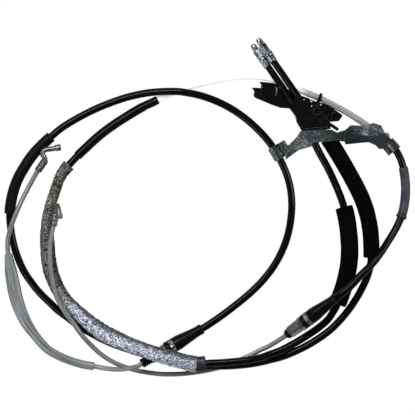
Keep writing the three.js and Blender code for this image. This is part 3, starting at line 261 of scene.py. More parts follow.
routeA = [
    *straightRun((50.0, 168.2, 13.2), (71.5, 137.3, 14.0), frontReach, "tip", 0),
    (75.5, 131.6, 13.7), (84.5, 118.7, 12.9), (91.4, 108.7, 12.3), (95.5, 102.8, 12.3, "block"),
    (101.5, 94.0, 12.2), (107.5, 85.2, 11.4), (114.0, 76.5, 9.8), (119.6, 69.2, 8.5, "foamStart"),
    (124.4, 62.4, 8.4), (135.2, 44.7, 8.4), (144.9, 27.5, 8.4), (151.7, 14.2, 8.4), (156.0, 3.7, 8.4),
    (159.5, -7.5, 8.4), (162.2, -21.5, 8.4), (163.3, -35.5, 8.4), (163.4, -50.3, 8.4, "foamEnd"),
    (161.8, -60.8, 7.2), (158.7, -71.2, 5.0), (153.0, -83.3, 3.9), (147.0, -93.5, 3.8),
    (140.0, -103.5, 3.8), (131.3, -113.8, 3.8), (121.4, -123.3, 3.8), (106.5, -133.8, 3.8),
    (91.5, -141.9, 3.8), (76.5, -148.3, 3.8), (61.7, -152.3, 4.4), (52.0, -154.5, 6.1),
    (42.1, -156.1, 8.4), (32.5, -157.1, 9.1), (22.5, -157.8, 9.2), (12.5, -158.1, 9.0),
    (-1.5, -158.1, 7.2), (-12.5, -157.2, 5.0), (-27.5, -154.8, 3.8), (-41.5, -151.8, 3.8),
    (-55.0, -148.8, 3.8), (-67.5, -145.3, 3.8), (-81.5, -140.8, 3.8), (-95.5, -135.8, 3.8),
    (-107.5, -130.3, 3.8), (-121.1, -122.9, 3.8), (-131.5, -116.3, 3.8), (-140.5, -109.4, 3.8),
    (-149.6, -102.6, 3.8), (-157.5, -95.0, 3.8), (-164.2, -88.7, 3.8), (-170.7, -81.6, 3.8),
    (-176.3, -74.2, 3.8), (-182.9, -64.5, 3.8), (-188.7, -52.0, 3.8), (-193.3, -38.0, 3.8),
    (-196.3, -22.5, 3.9), (-197.4, -6.0, 5.4, "sleeveStart"), (-195.0, 11.5, 5.7), (-190.0, 27.0, 5.7),
    (-183.0, 40.0, 5.7), (-174.5, 52.5, 5.7), (-165.0, 62.7, 5.7), (-156.0, 70.8, 5.7, "sleeveEnd"),
    (-145.5, 79.6, 4.4), (-127.9, 90.3, 3.8), (-107.8, 100.2, 3.8), (-86.5, 108.2, 4.4),
    (-71.5, 112.2, 6.4), (-56.5, 114.7, 9.0), (-41.5, 115.6, 10.9), (-28.5, 115.5, 11.3),
    (-17.0, 113.8, 10.4), (-6.5, 111.5, 8.2), (7.3, 106.8, 5.2), (21.3, 100.1, 3.9),
    (34.8, 91.3, 3.9), (45.7, 82.2, 4.6), (55.6, 72.4, 5.5), (63.0, 63.4, 5.7),
    (68.8, 54.5, 5.7, "clamp"), (73.8, 45.2, 5.5), (79.3, 32.4, 4.4), (82.9, 18.5, 3.8),
    (84.2, 4.0, 3.8), (83.5, -9.5, 3.8), (81.3, -23.0, 3.8), (77.5, -36.0, 3.8), (71.5, -49.5, 3.8),
    (63.5, -62.5, 3.8), (53.0, -75.3, 3.8), (40.5, -87.3, 3.8), (27.0, -98.3, 3.8),
    (13.5, -108.5, 3.9),
    *straightRun((-5.6, -121.0, 5.6), (-62.3, -153.6, 15.4), rearReach("a"), "boot"),
    (-80.0, -160.4, 13.6), (-91.0, -161.4, 9.2), (-102.0, -160.6, 5.8),
    (-113.5, -158.6, 4.2, "guardStart"), (-124.0, -156.9, 4.0), (-135.5, -153.6, 4.0),
    (-147.5, -148.8, 4.0), (-160.8, -140.7, 4.0), (-173.0, -126.8, 4.0), (-183.0, -111.6, 4.0),
    (-190.5, -92.5, 4.0), (-194.6, -73.5, 4.0), (-197.2, -58.0, 4.3), (-198.8, -46.5, 5.4, "guardEnd"),
    (-199.6, -39.0, 6.8), (-198.9, -31.0, 9.2), (-196.6, -22.0, 11.0), (-193.4, -12.5, 11.3),
    (-189.6, -3.0, 10.9), (-185.6, 6.0, 9.6), (-180.6, 16.0, 7.8), (-174.5, 27.5, 6.8),
    (-169.3, 36.5, 7.2, "crimp"), (-164.8, 42.8, 8.6), (-161.6, 47.6, 9.8, "hook"),
]
routeB = [
    *straightRun((44.8, 162.7, 5.0), (66.0, 132.4, 10.0), frontReach, "tip", 0),
    (69.5, 127.2, 10.7), (78.4, 114.3, 11.3), (85.2, 104.5, 12.0), (89.2, 98.8, 12.1, "block"),
    (95.0, 90.3, 11.7), (99.6, 82.9, 10.4), (103.4, 74.3, 8.0), (107.0, 64.5, 5.6), (112.1, 54.0, 4.2),
    (120.6, 38.6, 3.8), (127.0, 24.9, 4.6), (132.1, 12.4, 7.2), (136.0, 0.5, 9.0, "foamStart"),
    (139.4, -15.0, 9.1), (141.6, -36.5, 9.1), (141.1, -54.4, 9.1), (138.2, -70.5, 9.1),
    (134.2, -84.0, 9.1), (129.6, -96.0, 9.1, "foamEnd"), (125.0, -104.7, 7.6), (119.2, -112.9, 5.6),
    (110.3, -120.5, 4.2), (101.2, -126.8, 4.0), (88.3, -134.6, 6.8), (73.5, -142.3, 9.5),
    (63.0, -146.1, 10.8), (53.3, -149.4, 13.4), (43.0, -151.4, 15.8), (32.9, -152.7, 16.6),
    (22.8, -153.7, 16.8), (12.5, -154.5, 17.0), (2.0, -154.9, 17.2, "collarStart"),
    (-11.3, -155.8, 17.3, "foilStart"), (-27.5, -152.1, 20.6), (-44.0, -147.3, 25.2),
    (-54.0, -144.2, 25.8), (-64.5, -140.9, 24.2), (-84.5, -133.7, 17.8), (-103.9, -124.3, 12.2),
    (-117.9, -114.5, 9.6), (-132.0, -102.3, 7.4), (-143.0, -90.5, 6.0), (-151.0, -78.0, 5.6),
    (-156.5, -63.5, 5.6), (-158.9, -49.5, 5.6), (-159.9, -35.5, 5.6), (-160.3, -21.5, 5.6),
    (-158.9, -7.0, 5.6), (-155.3, 7.0, 5.6), (-151.9, 17.5, 5.6), (-148.3, 28.0, 5.6),
    (-143.7, 36.0, 5.6), (-138.4, 42.4, 5.5, "foilEnd"), (-129.9, 51.4, 4.8, "rubberStart"),
    (-122.0, 59.0, 4.8), (-107.8, 71.9, 4.8), (-92.4, 83.3, 4.8), (-77.2, 93.0, 4.8),
    (-64.0, 100.7, 4.8, "noseStart"), (-55.0, 104.9, 4.5), (-49.7, 107.6, 4.2, "noseEnd"),
    (-40.5, 112.0, 3.6), (-31.5, 115.8, 3.2), (-20.5, 119.6, 3.2), (-7.5, 123.6, 3.2),
    (6.5, 126.9, 3.2), (20.5, 129.1, 3.2), (34.0, 130.9, 3.2), (49.5, 130.7, 3.2), (62.5, 128.9, 3.2),
    (76.0, 124.6, 3.2), (88.5, 119.2, 3.2), (100.5, 113.9, 3.2), (112.5, 108.9, 3.2, "strap"),
    (124.5, 103.1, 3.2), (137.0, 96.3, 3.3), (149.0, 88.8, 3.8), (160.5, 81.0, 4.7),
    (170.5, 74.0, 5.4, "linerEnd"), (179.0, 67.2, 5.7), (184.6, 61.6, 5.7, "clamp"),
    (190.8, 52.5, 5.4), (195.4, 40.0, 4.9, "greyStart"), (197.7, 22.5, 4.8), (197.1, 7.0, 4.8),
    (194.2, -7.0, 5.9, "greyEnd"), (188.0, -20.8, 8.2), (179.4, -34.7, 12.2), (171.0, -46.8, 18.2),
    (162.5, -57.1, 21.9), (152.0, -67.2, 25.2), (142.0, -77.9, 26.9),
    *straightRun((127.3, -90.0, 24.4), (78.6, -127.2, 8.2), rearReach("b"), "boot"),
    (61.5, -138.4, 3.2), (52.5, -142.6, 2.5), (42.5, -147.7, 2.4), (32.5, -152.3, 2.4),
    (22.5, -156.4, 2.4), (12.5, -159.7, 2.4), (1.5, -162.4, 2.4), (-10.5, -164.5, 2.4),
    (-26.5, -166.3, 2.4), (-45.5, -166.5, 2.4), (-62.5, -164.5, 2.4), (-76.5, -161.3, 2.4),
    (-90.5, -156.3, 2.4), (-102.5, -149.5, 2.4), (-112.5, -141.3, 3.6), (-123.5, -129.5, 7.8),
    (-134.0, -115.0, 11.2), (-143.5, -101.8, 12.8), (-150.4, -88.6, 13.7), (-154.5, -73.5, 13.9),
    (-156.5, -58.5, 13.9), (-157.0, -43.5, 13.9), (-156.0, -31.0, 13.5), (-153.6, -18.5, 12.8, "crimp"),
    (-152.4, -12.4, 12.5), (-151.4, -6.7, 12.3, "hook"),
]


# a smooth line through points, measured along its length
class Line:
    def __init__(self, points, perSpan=20):
        known = [Vector(p[:3]) for p in points]
        known = [known[0] * 2 - known[1]] + known + [known[-1] * 2 - known[-2]]
        self.samples = [known[1].copy()]
        self.slopes = []
        for i in range(1, len(known) - 2):
            a, b = known[i], known[i + 1]
            ta, tb = (b - known[i - 1]) / 2, (known[i + 2] - a) / 2
            for k in range(perSpan + 1):
                t = k / perSpan
                point = (a * (2 * t**3 - 3 * t**2 + 1) + ta * (t**3 - 2 * t**2 + t)
                         + b * (3 * t**2 - 2 * t**3) + tb * (t**3 - t**2))
                slope = (a * (6 * t**2 - 6 * t) + ta * (3 * t**2 - 4 * t + 1)
                         + b * (6 * t - 6 * t**2) + tb * (3 * t**2 - 2 * t))
                if k:
                    self.samples.append(point)
                if k or i == 1:
                    self.slopes.append(slope.normalized())
        self.lengths = [0.0]
        for before, after in zip(self.samples, self.samples[1:]):
            self.lengths.append(self.lengths[-1] + (after - before).length)
        self.end = self.lengths[-1]
        self.names = {p[3]: self.lengths[i * perSpan] for i, p in enumerate(points) if len(p) > 3 and p[3]}

    def at(self, name, offset=0.0):
        return self.names[name] + offset

    def locate(self, distance):
        distance = min(max(distance, 0.0), self.end)
        low, high = 0, len(self.lengths) - 1
        while high - low > 1:
            middle = (low + high) // 2
            if self.lengths[middle] <= distance:
                low = middle
            else:
                high = middle
        return low, (distance - self.lengths[low]) / max(self.lengths[high] - self.lengths[low], 1e-9)

    def point(self, distance):
        i, share = self.locate(distance)
        return self.samples[i].lerp(self.samples[i + 1], share)

    def direction(self, distance):
        i, share = self.locate(distance)
        return self.slopes[i].lerp(self.slopes[i + 1], share).normalized()


cable = {"a": Line(routeA), "b": Line(routeB)}
linerGrey = {"from": cable["b"].at("strap", -28), "to": cable["b"].at("strap", -12)}
finishes["liner"] = linerFinish()


# meshes
def makeObject(name, vertices, faces, finish, smooth=True, sharpAngle=None):
    mesh = bpy.data.meshes.new(name)
    mesh.from_pydata([place(v[:3]) for v in vertices], [], faces)
    if len(vertices[0]) == 6:
        lay = mesh.attributes.new("lay", "FLOAT_VECTOR", "POINT")
        lay.data.foreach_set("vector", [value for v in vertices for value in v[3:]])
    mesh.materials.append(finishes[finish])
    mesh.update()
    check = bmesh.new()
    check.from_mesh(mesh)
    bmesh.ops.recalc_face_normals(check, faces=check.faces)
    check.to_mesh(mesh)
    check.free()
    if smooth:
        mesh.shade_smooth()
        if sharpAngle:
            mesh.set_sharp_from_angle(angle=math.radians(sharpAngle))
    obj = bpy.data.objects.new(name, mesh)
    bpy.context.scene.collection.objects.link(obj)
    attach(obj, "root")
    return obj


def loft(rings, closed=False):
    sides = len(rings[0])
    vertices = [v for ring in rings for v in ring]
    faces = []
    count = len(rings)
    for i in range(count if closed else count - 1):
        a, b = i * sides, ((i + 1) % count) * sides
        for k in range(sides):
            n = (k + 1) % sides
            faces.append((a + k, a + n, b + n, b + k))
    if not closed:
        faces.append(tuple(range(sides)))
        faces.append(tuple(range((count - 1) * sides, count * sides)))
    return vertices, faces


def acrossAndUp(direction):
    across = direction.cross(Vector((0, 0, 1)))
    across.normalize()
    return across, across.cross(direction)


def spread(start, end, step):
    count = max(1, math.ceil((end - start) / step))
    return [start + (end - start) * i / count for i in range(count + 1)]


# section(distance, angle) gives the offsets across and up from the centre line
def sweepSection(line, distances, section, sides):
    rings = []
    for distance in distances:
        centre = line.point(distance)
        across, up = acrossAndUp(line.direction(distance))
        ring = []
        for k in range(sides):
            x, y = section(distance, 2 * math.pi * k / sides)
            ring.append((*(centre + across * x + up * y), distance, x, y))
        rings.append(ring)
    return rings


def roundSection(radius):
    return lambda distance, angle: (radius * math.cos(angle), radius * math.sin(angle))


# a hollow sleeve: its ends are rounded over and turn into the bore
def sleeve(name, line, start, end, section, bore, finish, step=2.5, sides=32, edge=0.4, depth=4.0):
    inner = roundSection(bore)
    distances = spread(start + edge, end - edge, step)
    rings = sweepSection(line, [start + depth, start + 0.05], inner, sides)

    def shrunk(amount):
        def shape(distance, angle):
            x, y = section(distance, angle)
            length = math.hypot(x, y)
            return x * (length - amount) / length, y * (length - amount) / length
        return shape

    rings += sweepSection(line, [start], shrunk(edge), sides)
    rings += sweepSection(line, [start + edge * 0.3], shrunk(edge * 0.3), sides)
    rings += sweepSection(line, distances, section, sides)
    rings += sweepSection(line, [end - edge * 0.3], shrunk(edge * 0.3), sides)
    rings += sweepSection(line, [end], shrunk(edge), sides)
    rings += sweepSection(line, [end - 0.05, end - depth], inner, sides)
    vertices, faces = loft(rings)
    return makeObject(name, vertices, faces[:-2], finish, sharpAngle=50)


def tube(name, line, start, end, radius, finish, step=2.5, sides=28):
    rings = sweepSection(line, spread(start, end, step), roundSection(radius), sides)
    vertices, faces = loft(rings)
    return makeObject(name, vertices, faces, finish, sharpAngle=50)


def turned(name, line, distance, profile, finish, sides=48, sharpAngle=35, smooth=True):
    axis = line.direction(distance)
    origin = line.point(distance)
    across, up = acrossAndUp(axis)
    rings = []
    for radius, along in profile:
        centre = origin + axis * along
        rings.append([centre + across * radius * math.cos(2 * math.pi * k / sides)
                      + up * radius * math.sin(2 * math.pi * k / sides) for k in range(sides)])
    vertices, faces = loft(rings, closed=True)
    return makeObject(name, vertices, faces, finish, smooth=smooth, sharpAngle=sharpAngle)


def rounded(profile, radius=0.35):
    result = []
    count = len(profile)
    for i, point in enumerate(profile):
        p = Vector(point)
        before, after = Vector(profile[i - 1]), Vector(profile[(i + 1) % count])
        toBefore, toAfter = before - p, after - p
        cut = min(radius, toBefore.length * 0.35, toAfter.length * 0.35)
        if cut < 0.03:
            result.append(tuple(p))
            continue
        a, b = p + toBefore.normalized() * cut, p + toAfter.normalized() * cut
        result += [tuple(a), tuple((a + b) * 0.25 + p * 0.5), tuple(b)]
    return result


def dressed(node, finish, bevel=0.3, segments=2, angle=30):
    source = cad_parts[node]
    obj = bpy.data.objects.new(node + "_form", source.data.copy())
    bpy.context.scene.collection.objects.link(obj)
    work = bmesh.new()
    work.from_mesh(obj.data)
    bmesh.ops.remove_doubles(work, verts=work.verts, dist=1e-6)
    bmesh.ops.dissolve_limit(work, angle_limit=math.radians(1.5), verts=work.verts, edges=work.edges)
    work.to_mesh(obj.data)
    work.free()
    obj.data.materials.clear()
    obj.data.materials.append(finishes[finish])
    obj.data.shade_smooth()
    obj.data.set_sharp_from_angle(angle=math.radians(angle))
    if bevel:
        modifier = obj.modifiers.new("edges", "BEVEL")
        modifier.width = bevel * mm
        modifier.segments = segments
        modifier.limit_method = "ANGLE"
        modifier.angle_limit = math.radians(angle)
        modifier.harden_normals = True
    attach(obj, "root")
    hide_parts(node)
    return obj


# conduits
conduit = {"radius": 3.75, "joint": 2.0}
linerRadius = 3.2
frontTubeRadius = 3.4
wire = {"radius": 2.4, "pitch": 30.0, "strands": 12, "inHead": 2, "inCrimp": 9}
places = {}
for side in "ab":
    line = cable[side]
    boot = line.at("boot")
    clip = boot + rear["boot"]
    ring = clip + rear["clip"] + faceGap
    head = ring + rear["ring"] + faceGap
    places[side] = {
        "boot": boot, "clip": clip, "ring": ring, "head": head, "headEnd": head + rear["head"],
        "sealEnd": head + rear["head"] + sealLength[side],
        "conduitEnd": head - rear["tail"] + rear["seat"],
        "rodSocket": line.at("tip") + front["tip"] + front["nut"] + faceGap,
    }
    places[side]["tubeStart"] = line.at("tip") + frontReach - front["tubeSeat"]

block = {side: cable[side].at("block") + conduit["joint"] for side in "ab"}
jointB = cable["b"].at("noseStart") + conduit["joint"]
linerEnd = cable["b"].at("linerEnd")
sheaths = {
    "conduit_a": ("a", block["a"], places["a"]["conduitEnd"], conduit["radius"], "conduit"),
    "conduit_b_front": ("b", block["b"], jointB, conduit["radius"], "conduit"),
    "conduit_b_rear": ("b", linerEnd, places["b"]["conduitEnd"], conduit["radius"], "conduit"),
    "liner_b": ("b", jointB + faceGap, linerEnd - faceGap, linerRadius, "liner"),
    "front_tube_a": ("a", places["a"]["tubeStart"], block["a"] - faceGap, frontTubeRadius, "conduit"),
    "front_tube_b": ("b", places["b"]["tubeStart"], block["b"] - faceGap, frontTubeRadius, "conduit"),
}
for name, (side, start, end, radius, finish) in sheaths.items():
    tube(name + "_tube", cable[side], start, end, radius, finish)
    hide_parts(name)
print("stage: conduits")


# wire ropes, with their strands laid round the core
def ropeSection(radius):
    def shape(distance, angle):
        turn = angle - 2 * math.pi * distance / wire["pitch"]
        r = radius * (0.93 + 0.07 * abs(math.cos(wire["strands"] / 2 * turn)))
        return r * math.cos(angle), r * math.sin(angle)
    return shape


for side in "ab":
    line = cable[side]
    start = places[side]["headEnd"] - wire["inHead"]
    end = line.at("crimp") + wire["inCrimp"]
    rings = sweepSection(line, spread(start, end, 1.5), ropeSection(wire["radius"]), 48)
    vertices, faces = loft(rings)
    name = "wire_" + side
    makeObject(name + "_rope", vertices, faces, "strand")
    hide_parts(name)
print("stage: wires")


# foam, sleeves and tubes that are slid over the conduits
def softSection(radius, amount, scale):
    def shape(distance, angle):
        point = Vector((math.cos(angle) * radius, math.sin(angle) * radius, distance)) * scale
        r = radius - amount * (0.5 + 0.5 * noise.noise(point))
        return r * math.cos(angle), r * math.sin(angle)
    return shape


bore = conduit["radius"] + 0.1
overSleeves = {
    "foam_tube_a": ("a", "foamStart", "foamEnd", 8.3, 0.25, "foam", 1.2),
    "foam_tube_b": ("b", "foamStart", "foamEnd", 9.0, 0.25, "foam", 1.2),
    "thick_sleeve_a": ("a", "sleeveStart", "sleeveEnd", 5.6, 0.06, "sleeve", 0.5),
    "grey_tube_b": ("b", "greyStart", "greyEnd", 4.7, 0.03, "greyTube", 0.3),
}
for name, (side, start, end, radius, amount, finish, edge) in overSleeves.items():
    line = cable[side]
    sleeve(name + "_sleeve", line, line.at(start), line.at(end),
                          softSection(radius, amount, 0.12), bore, finish, edge=edge)
    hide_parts(name)


rubber = {"radius": 4.7, "nose": 4.35, "bore": 3.3, "step": 2.4}


def rubberSection():
    line = cable["b"]
    shoulder = line.at("noseStart")

    def shape(distance, angle):
        share = min(max((distance - shoulder + rubber["step"] / 2) / rubber["step"], 0), 1)
        r = rubber["radius"] + (rubber["nose"] - rubber["radius"]) * share
        return r * math.cos(angle), r * math.sin(angle)
    return shape


line = cable["b"]
sleeve("rubber_tube_b_sleeve", line, line.at("rubberStart"), line.at("noseEnd"),
                                 rubberSection(), rubber["bore"], "rubber", step=1.2, edge=0.4)
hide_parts("rubber_tube_b")


ferruleRing = {"radius": 5.5, "bulge": 0.5, "length": 3.4}


def ringSection(distance, angle):
    half = ferruleRing["length"] / 2
    middle = cable["b"].at("greyEnd") + faceGap + half
    r = ferruleRing["radius"] - ferruleRing["bulge"] * ((distance - middle) / half) ** 2
    return r * math.cos(angle), r * math.sin(angle)


start = line.at("greyEnd") + faceGap
end = start + ferruleRing["length"]
sleeve("ferrule_ring_b_band", line, start, end, ringSection, bore,
                                  "collar", step=0.5, edge=0.3, depth=1.5)
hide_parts("ferrule_ring_b")
print("stage: sleeves")


# crinkled foil sleeve and its collar
foil = {"widths": [8.2, 8.3, 8.2, 7.7, 7.6, 8.2, 8.8, 8.6, 7.8, 7.3, 6.8, 7.5, 7.9, 7.7, 7.3, 6.2, 5.7, 5.7,
                   5.8, 6.7], "height": 4.7, "wall": 0.75}
guard = {"widths": [4.1, 4.2, 4.3, 4.5, 4.8, 6.0, 6.7, 7.0, 6.3, 3.9], "height": 3.95, "wall": 1.0}


def widthAt(widths, share):
    where = min(max(share, 0), 1) * (len(widths) - 1)
    i = min(int(where), len(widths) - 2)
    return widths[i] + (widths[i + 1] - widths[i]) * (where - i)


def ridge(value):
    return 1 - abs(value) * 2


def foilSection(start, end):
    def shape(distance, angle):
        half = widthAt(foil["widths"], (distance - start) / (end - start))
        c, s = math.cos(angle), math.sin(angle)
        where = Vector((distance * 0.16, c * 1.3, s * 1.3))
        folds = ridge(noise.noise(where)) * 0.55 + ridge(noise.noise(where * 2.7)) * 0.3
        cross = ridge(noise.noise(Vector((distance * 0.34, c * 0.35, s * 0.5 + 9)))) * 0.35
        inset = 0.95 - (folds + cross)
        inset = min(max(inset, 0.0), 0.95)
        return (half - inset) * c, (foil["height"] - inset * 0.6) * s
    return shape


def flatSleeve(name, line, start, end, section, inner, finish, step, sides, depth):
    rings = sweepSection(line, [start + depth, start + 0.1], inner, sides)
    rings += sweepSection(line, spread(start, end, step), section, sides)
    rings += sweepSection(line, [end - 0.1, end - depth], inner, sides)
    vertices, faces = loft(rings)
    return makeObject(name, vertices, faces[:-2], finish, sharpAngle=60)


def innerOf(sizes, start, end):
    def shape(distance, angle):
        half = widthAt(sizes["widths"], (distance - start) / (end - start)) - sizes["wall"]
        return half * math.cos(angle), (sizes["height"] - sizes["wall"]) * math.sin(angle)
    return shape


start, end = line.at("foilStart"), line.at("foilEnd")
flatSleeve("foil_sleeve_skin", line, start, end, foilSection(start, end),
                                   innerOf(foil, start, end), "foil", 0.9, 56, 8)
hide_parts("foil_sleeve")


collar = {"width": 7.8, "height": 5.3, "length": 9.5}


def collarSection(distance, angle):
    return collar["width"] * math.cos(angle), collar["height"] * math.sin(angle)


collarEnd = start - faceGap
sleeve("foil_collar_band", line, collarEnd - collar["length"], collarEnd,
                               collarSection, bore, "collar", step=0.8, sides=40, edge=0.7, depth=3)
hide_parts("foil_collar")


def guardSection(start, end):
    def shape(distance, angle):
        half = widthAt(guard["widths"], (distance - start) / (end - start))
        soft = 0.15 * (0.5 + 0.5 * noise.noise(Vector((distance * 0.07, math.cos(angle), math.sin(angle)))))
        return (half - soft) * math.cos(angle), (guard["height"] - soft) * math.sin(angle)
    return shape


line = cable["a"]
start, end = line.at("guardStart"), line.at("guardEnd")
flatSleeve("wire_guard_a_sleeve", line, start, end, guardSection(start, end),
                                    innerOf(guard, start, end), "guard", 2.0, 36, 6)
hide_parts("wire_guard_a")
print("stage: foil and guard")


# rear fittings
headSizes = {"a": (6.4, 5.7), "b": (7.3, 6.0)}
for side in "ab":
    line = cable[side]
    at = places[side]
    wide, narrow = headSizes[side]
    bootProfile = [(3.85, 0), (4.7, 0), (5.3, 0.6), (5.5, 1.6), (5.3, 2.6), (5.05, 3.2), (5.15, 6)]
    for i in range(1, 13):
        share = i / 13
        bootProfile.append((5.15 + 2.2 * (share ** 1.15), 6 + 20.5 * share))
    bootProfile += [(7.35, 27), (7.35, 32.4), (7.0, 32.7), (5.2, 32.7), (5.2, 18), (3.85, 16)]
    turned("boot_%s_rubber" % side, line, at["boot"], bootProfile, "rubber")
    ringProfile = rounded([(5.1, 0), (6.8, 0), (7.4, 1.43), (7.4, 2.87), (6.8, 4.3), (5.1, 4.3)], 0.5)
    turned("seal_ring_%s_rubber" % side, line, at["ring"], ringProfile,
                                         "rubber")
    headProfile = rounded([(5.0, -rear["tail"]), (5.0, 0), (wide, 0), (wide, 3.2), (wide - 0.7, 4.0),
                           (narrow, 16.3), (narrow - 0.8, rear["head"]), (4.05, rear["head"]), (4.05, 10),
                           (3.0, 10), (3.0, -rear["tail"])], 0.3)
    turned("abutment_%s_head" % side, line, at["head"], headProfile, "zinc",
                                        sides=12 if side == "b" else 40, sharpAngle=28, smooth=side == "a")
    ribs = max(1, round(sealLength[side] / 3))
    ribLength = (sealLength[side] - faceGap) / ribs
    seal = [(2.6, -3.7), (3.8, -3.7), (3.8, 0.3)]
    for i in range(ribs):
        start = faceGap + i * ribLength
        seal += [(4.6, start), (5.0, start + 0.4), (5.0, start + ribLength * 0.5),
                 (4.6, start + ribLength * 0.68)]
        if i < ribs - 1:
            seal += [(3.9, start + ribLength * 0.74), (3.9, start + ribLength * 0.92)]
    seal += [(3.8, faceGap + ribs * ribLength), (2.6, faceGap + ribs * ribLength)]
    turned("wire_seal_%s_rubber" % side, line, at["headEnd"], seal, "rubber")
    for part in ("boot", "seal_ring", "abutment", "wire_seal"):
        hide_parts("%s_%s" % (part, side))
    dressed("retaining_clip_" + side, "clip", bevel=0.25)
print("stage: rear fittings")


# front fittings
for side in "ab":
    line = cable[side]
    tip = line.at("tip")
    rod = rounded([(0.01, 0), (1.7, 0), (2.75, 1.05), (3.05, 2.4), (3.05, 6.9), (2.3, 6.9),
                   (2.3, front["tip"]), (0.01, front["tip"])], 0.4)
    turned("rod_end_%s_rod" % side, line, tip, rod, "zinc", sides=32)
    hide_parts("rod_end_" + side)
    dressed("rod_nut_" + side, "zinc", bevel=0.35)
    ferrule = rounded([(2.6, 0), (4.1, 0), (4.6, 0.7), (4.6, 2.5), (4.45, 3.2), (4.15, 4.2), (4.15, 10.4),
                       (3.4, 10.4), (2.6, 6)], 0.25)
    turned("ferrule_%s_shell" % side, line, places[side]["rodSocket"], ferrule,
                                       "zinc", sides=40)
    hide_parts("ferrule_" + side)
print("stage: front fittings")


# hooks and crimps
def frames(line, distances, firstUp):
    up = firstUp.copy()
    result = []
    for distance in distances:
        direction = line.direction(distance)
        across = direction.cross(up).normalized()
        up = across.cross(direction).normalized()
        result.append((line.point(distance), across, up, direction))
    return result


hooks = {
    "a": [(-161.6, 47.6, 9.8), (-162.6, 50.2, 10.9), (-164.4, 52.9, 11.6), (-163.6, 56.0, 11.6),
          (-160.4, 57.8, 11.3), (-156.0, 58.3, 10.7), (-151.4, 59.2, 10.0), (-147.4, 59.9, 9.4)],
    "b": [(-151.4, -6.7, 12.3), (-151.0, -2.6, 12.7), (-150.2, 1.0, 15.4), (-149.0, 1.4, 19.6),
          (-148.0, -1.6, 23.0), (-147.2, -6.0, 24.6), (-146.8, -10.0, 24.8)],
}
rodRadius = 2.6
crimp = {"radius": 3.7, "press": 0.28, "pitch": 4.2, "bore": 2.5}
for side, path in hooks.items():
    line = Line(path)
    sides = 24
    rings = []
    start = line.direction(0)
    firstUp = start.cross(Vector((0.3, 0.9, 0.2))).normalized()
    for point, across, up, direction in frames(line, spread(0, line.end, 0.8), firstUp):
        rings.append([point + (across * math.cos(2 * math.pi * k / sides)
                      + up * math.sin(2 * math.pi * k / sides)) * rodRadius for k in range(sides)])
    point, across, up, direction = frames(line, [line.end], firstUp)[0]
    barrel = [(2.6, -4.4), (3.0, -4.1), (3.3, -3.5), (3.3, 0.2), (3.1, 0.75), (2.6, 1.1), (1.2, 1.2)]
    for radius, along in barrel:
        rings.append([point + direction * along + (across * math.cos(2 * math.pi * k / sides)
                      + up * math.sin(2 * math.pi * k / sides)) * radius for k in range(sides)])
    vertices, faces = loft(rings)
    makeObject("hook_%s_rod" % side, vertices, faces, "dullZinc", sharpAngle=50)
    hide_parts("hook_" + side)

    route = cable[side]

    def crimpSection(distance, angle, route=route):
        along = distance - route.at("crimp")
        wave = max(0, math.cos(2 * math.pi * along / crimp["pitch"]))
        r = crimp["radius"] - crimp["press"] * wave * abs(math.cos(angle * 2)) ** 2
        return r * math.cos(angle), r * math.sin(angle)
    sleeve("crimp_%s_shell" % side, route, route.at("crimp"), route.at("hook"),
                                     crimpSection, crimp["bore"], "crimp", step=0.6, sides=36,
                                     edge=0.45, depth=2)
    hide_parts("crimp_" + side)
print("stage: hooks")


# bracket, housing and its trim
dressed("bracket", "bracket", bevel=0.45, segments=3, angle=20)
dressed("front_housing", "housing", bevel=0.4, segments=2)
dressed("bush", "brass", bevel=0.35)
dressed("spring_clip", "brightBit", bevel=0)
dressed("liner_strap", "housing", bevel=0.3)


# straight ridges, each from start to end, between two heights
def ridges(name, lines, finish, edge=0.3):
    vertices, faces = [], []
    for start, end, base, top, width in lines:
        direction = (Vector(end) - Vector(start)).normalized()
        half = width / 2
        profile = [(-half, base), (-half, top - edge), (edge - half, top), (half - edge, top),
                   (half, top - edge), (half, base)]
        first, count = len(vertices), len(profile)
        for point in (start, end):
            for across, height in profile:
                vertices.append((point[0] - direction.y * across, point[1] + direction.x * across, height))
        faces += [(first + k, first + (k + 1) % count, first + count + (k + 1) % count, first + count + k)
                  for k in range(count)]
        faces += [tuple(range(first, first + count)), tuple(range(first + count, first + 2 * count))]
    return makeObject(name, vertices, faces, finish, sharpAngle=75)


tray = {"floor": 2.2, "rib": 6.4, "block": 18.0, "rim": 19.0}
ridges("housing_tray_ribs", [
    ((52.4, 109.2), (54.2, 123.4), tray["floor"], tray["rib"], 1.3),
    ((73.6, 101.4), (75.8, 118.6), tray["floor"], tray["rib"], 1.3),
    ((80.4, 101.2), (81.8, 116.0), tray["floor"], tray["rib"], 1.3),
    ((109.2, 99.4), (112.6, 103.0), tray["floor"], 11.0, 1.2),
    ((113.2, 94.4), (121.4, 100.0), tray["floor"], 11.0, 1.2),
    ((117.2, 89.6), (127.8, 95.4), tray["floor"], 9.0, 1.2),
    ((123.0, 87.6), (124.6, 97.4), tray["floor"], 9.0, 1.2),
], "housing")
ridges("housing_block_rim", [
    ((90.2, 111.2), (99.6, 107.7), tray["block"], tray["rim"], 1.1),
    ((99.4, 107.9), (107.2, 103.0), tray["block"], tray["rim"], 1.1),
    ((107.0, 103.3), (120.2, 86.2), tray["block"], tray["rim"], 1.1),
    ((91.4, 85.2), (96.0, 78.0), tray["block"], tray["rim"], 1.1),
    ((95.6, 78.2), (119.8, 79.9), tray["block"], tray["rim"], 1.1),
    ((93.0, 104.4), (103.4, 101.6), tray["block"], 18.7, 0.9),
], "housing")
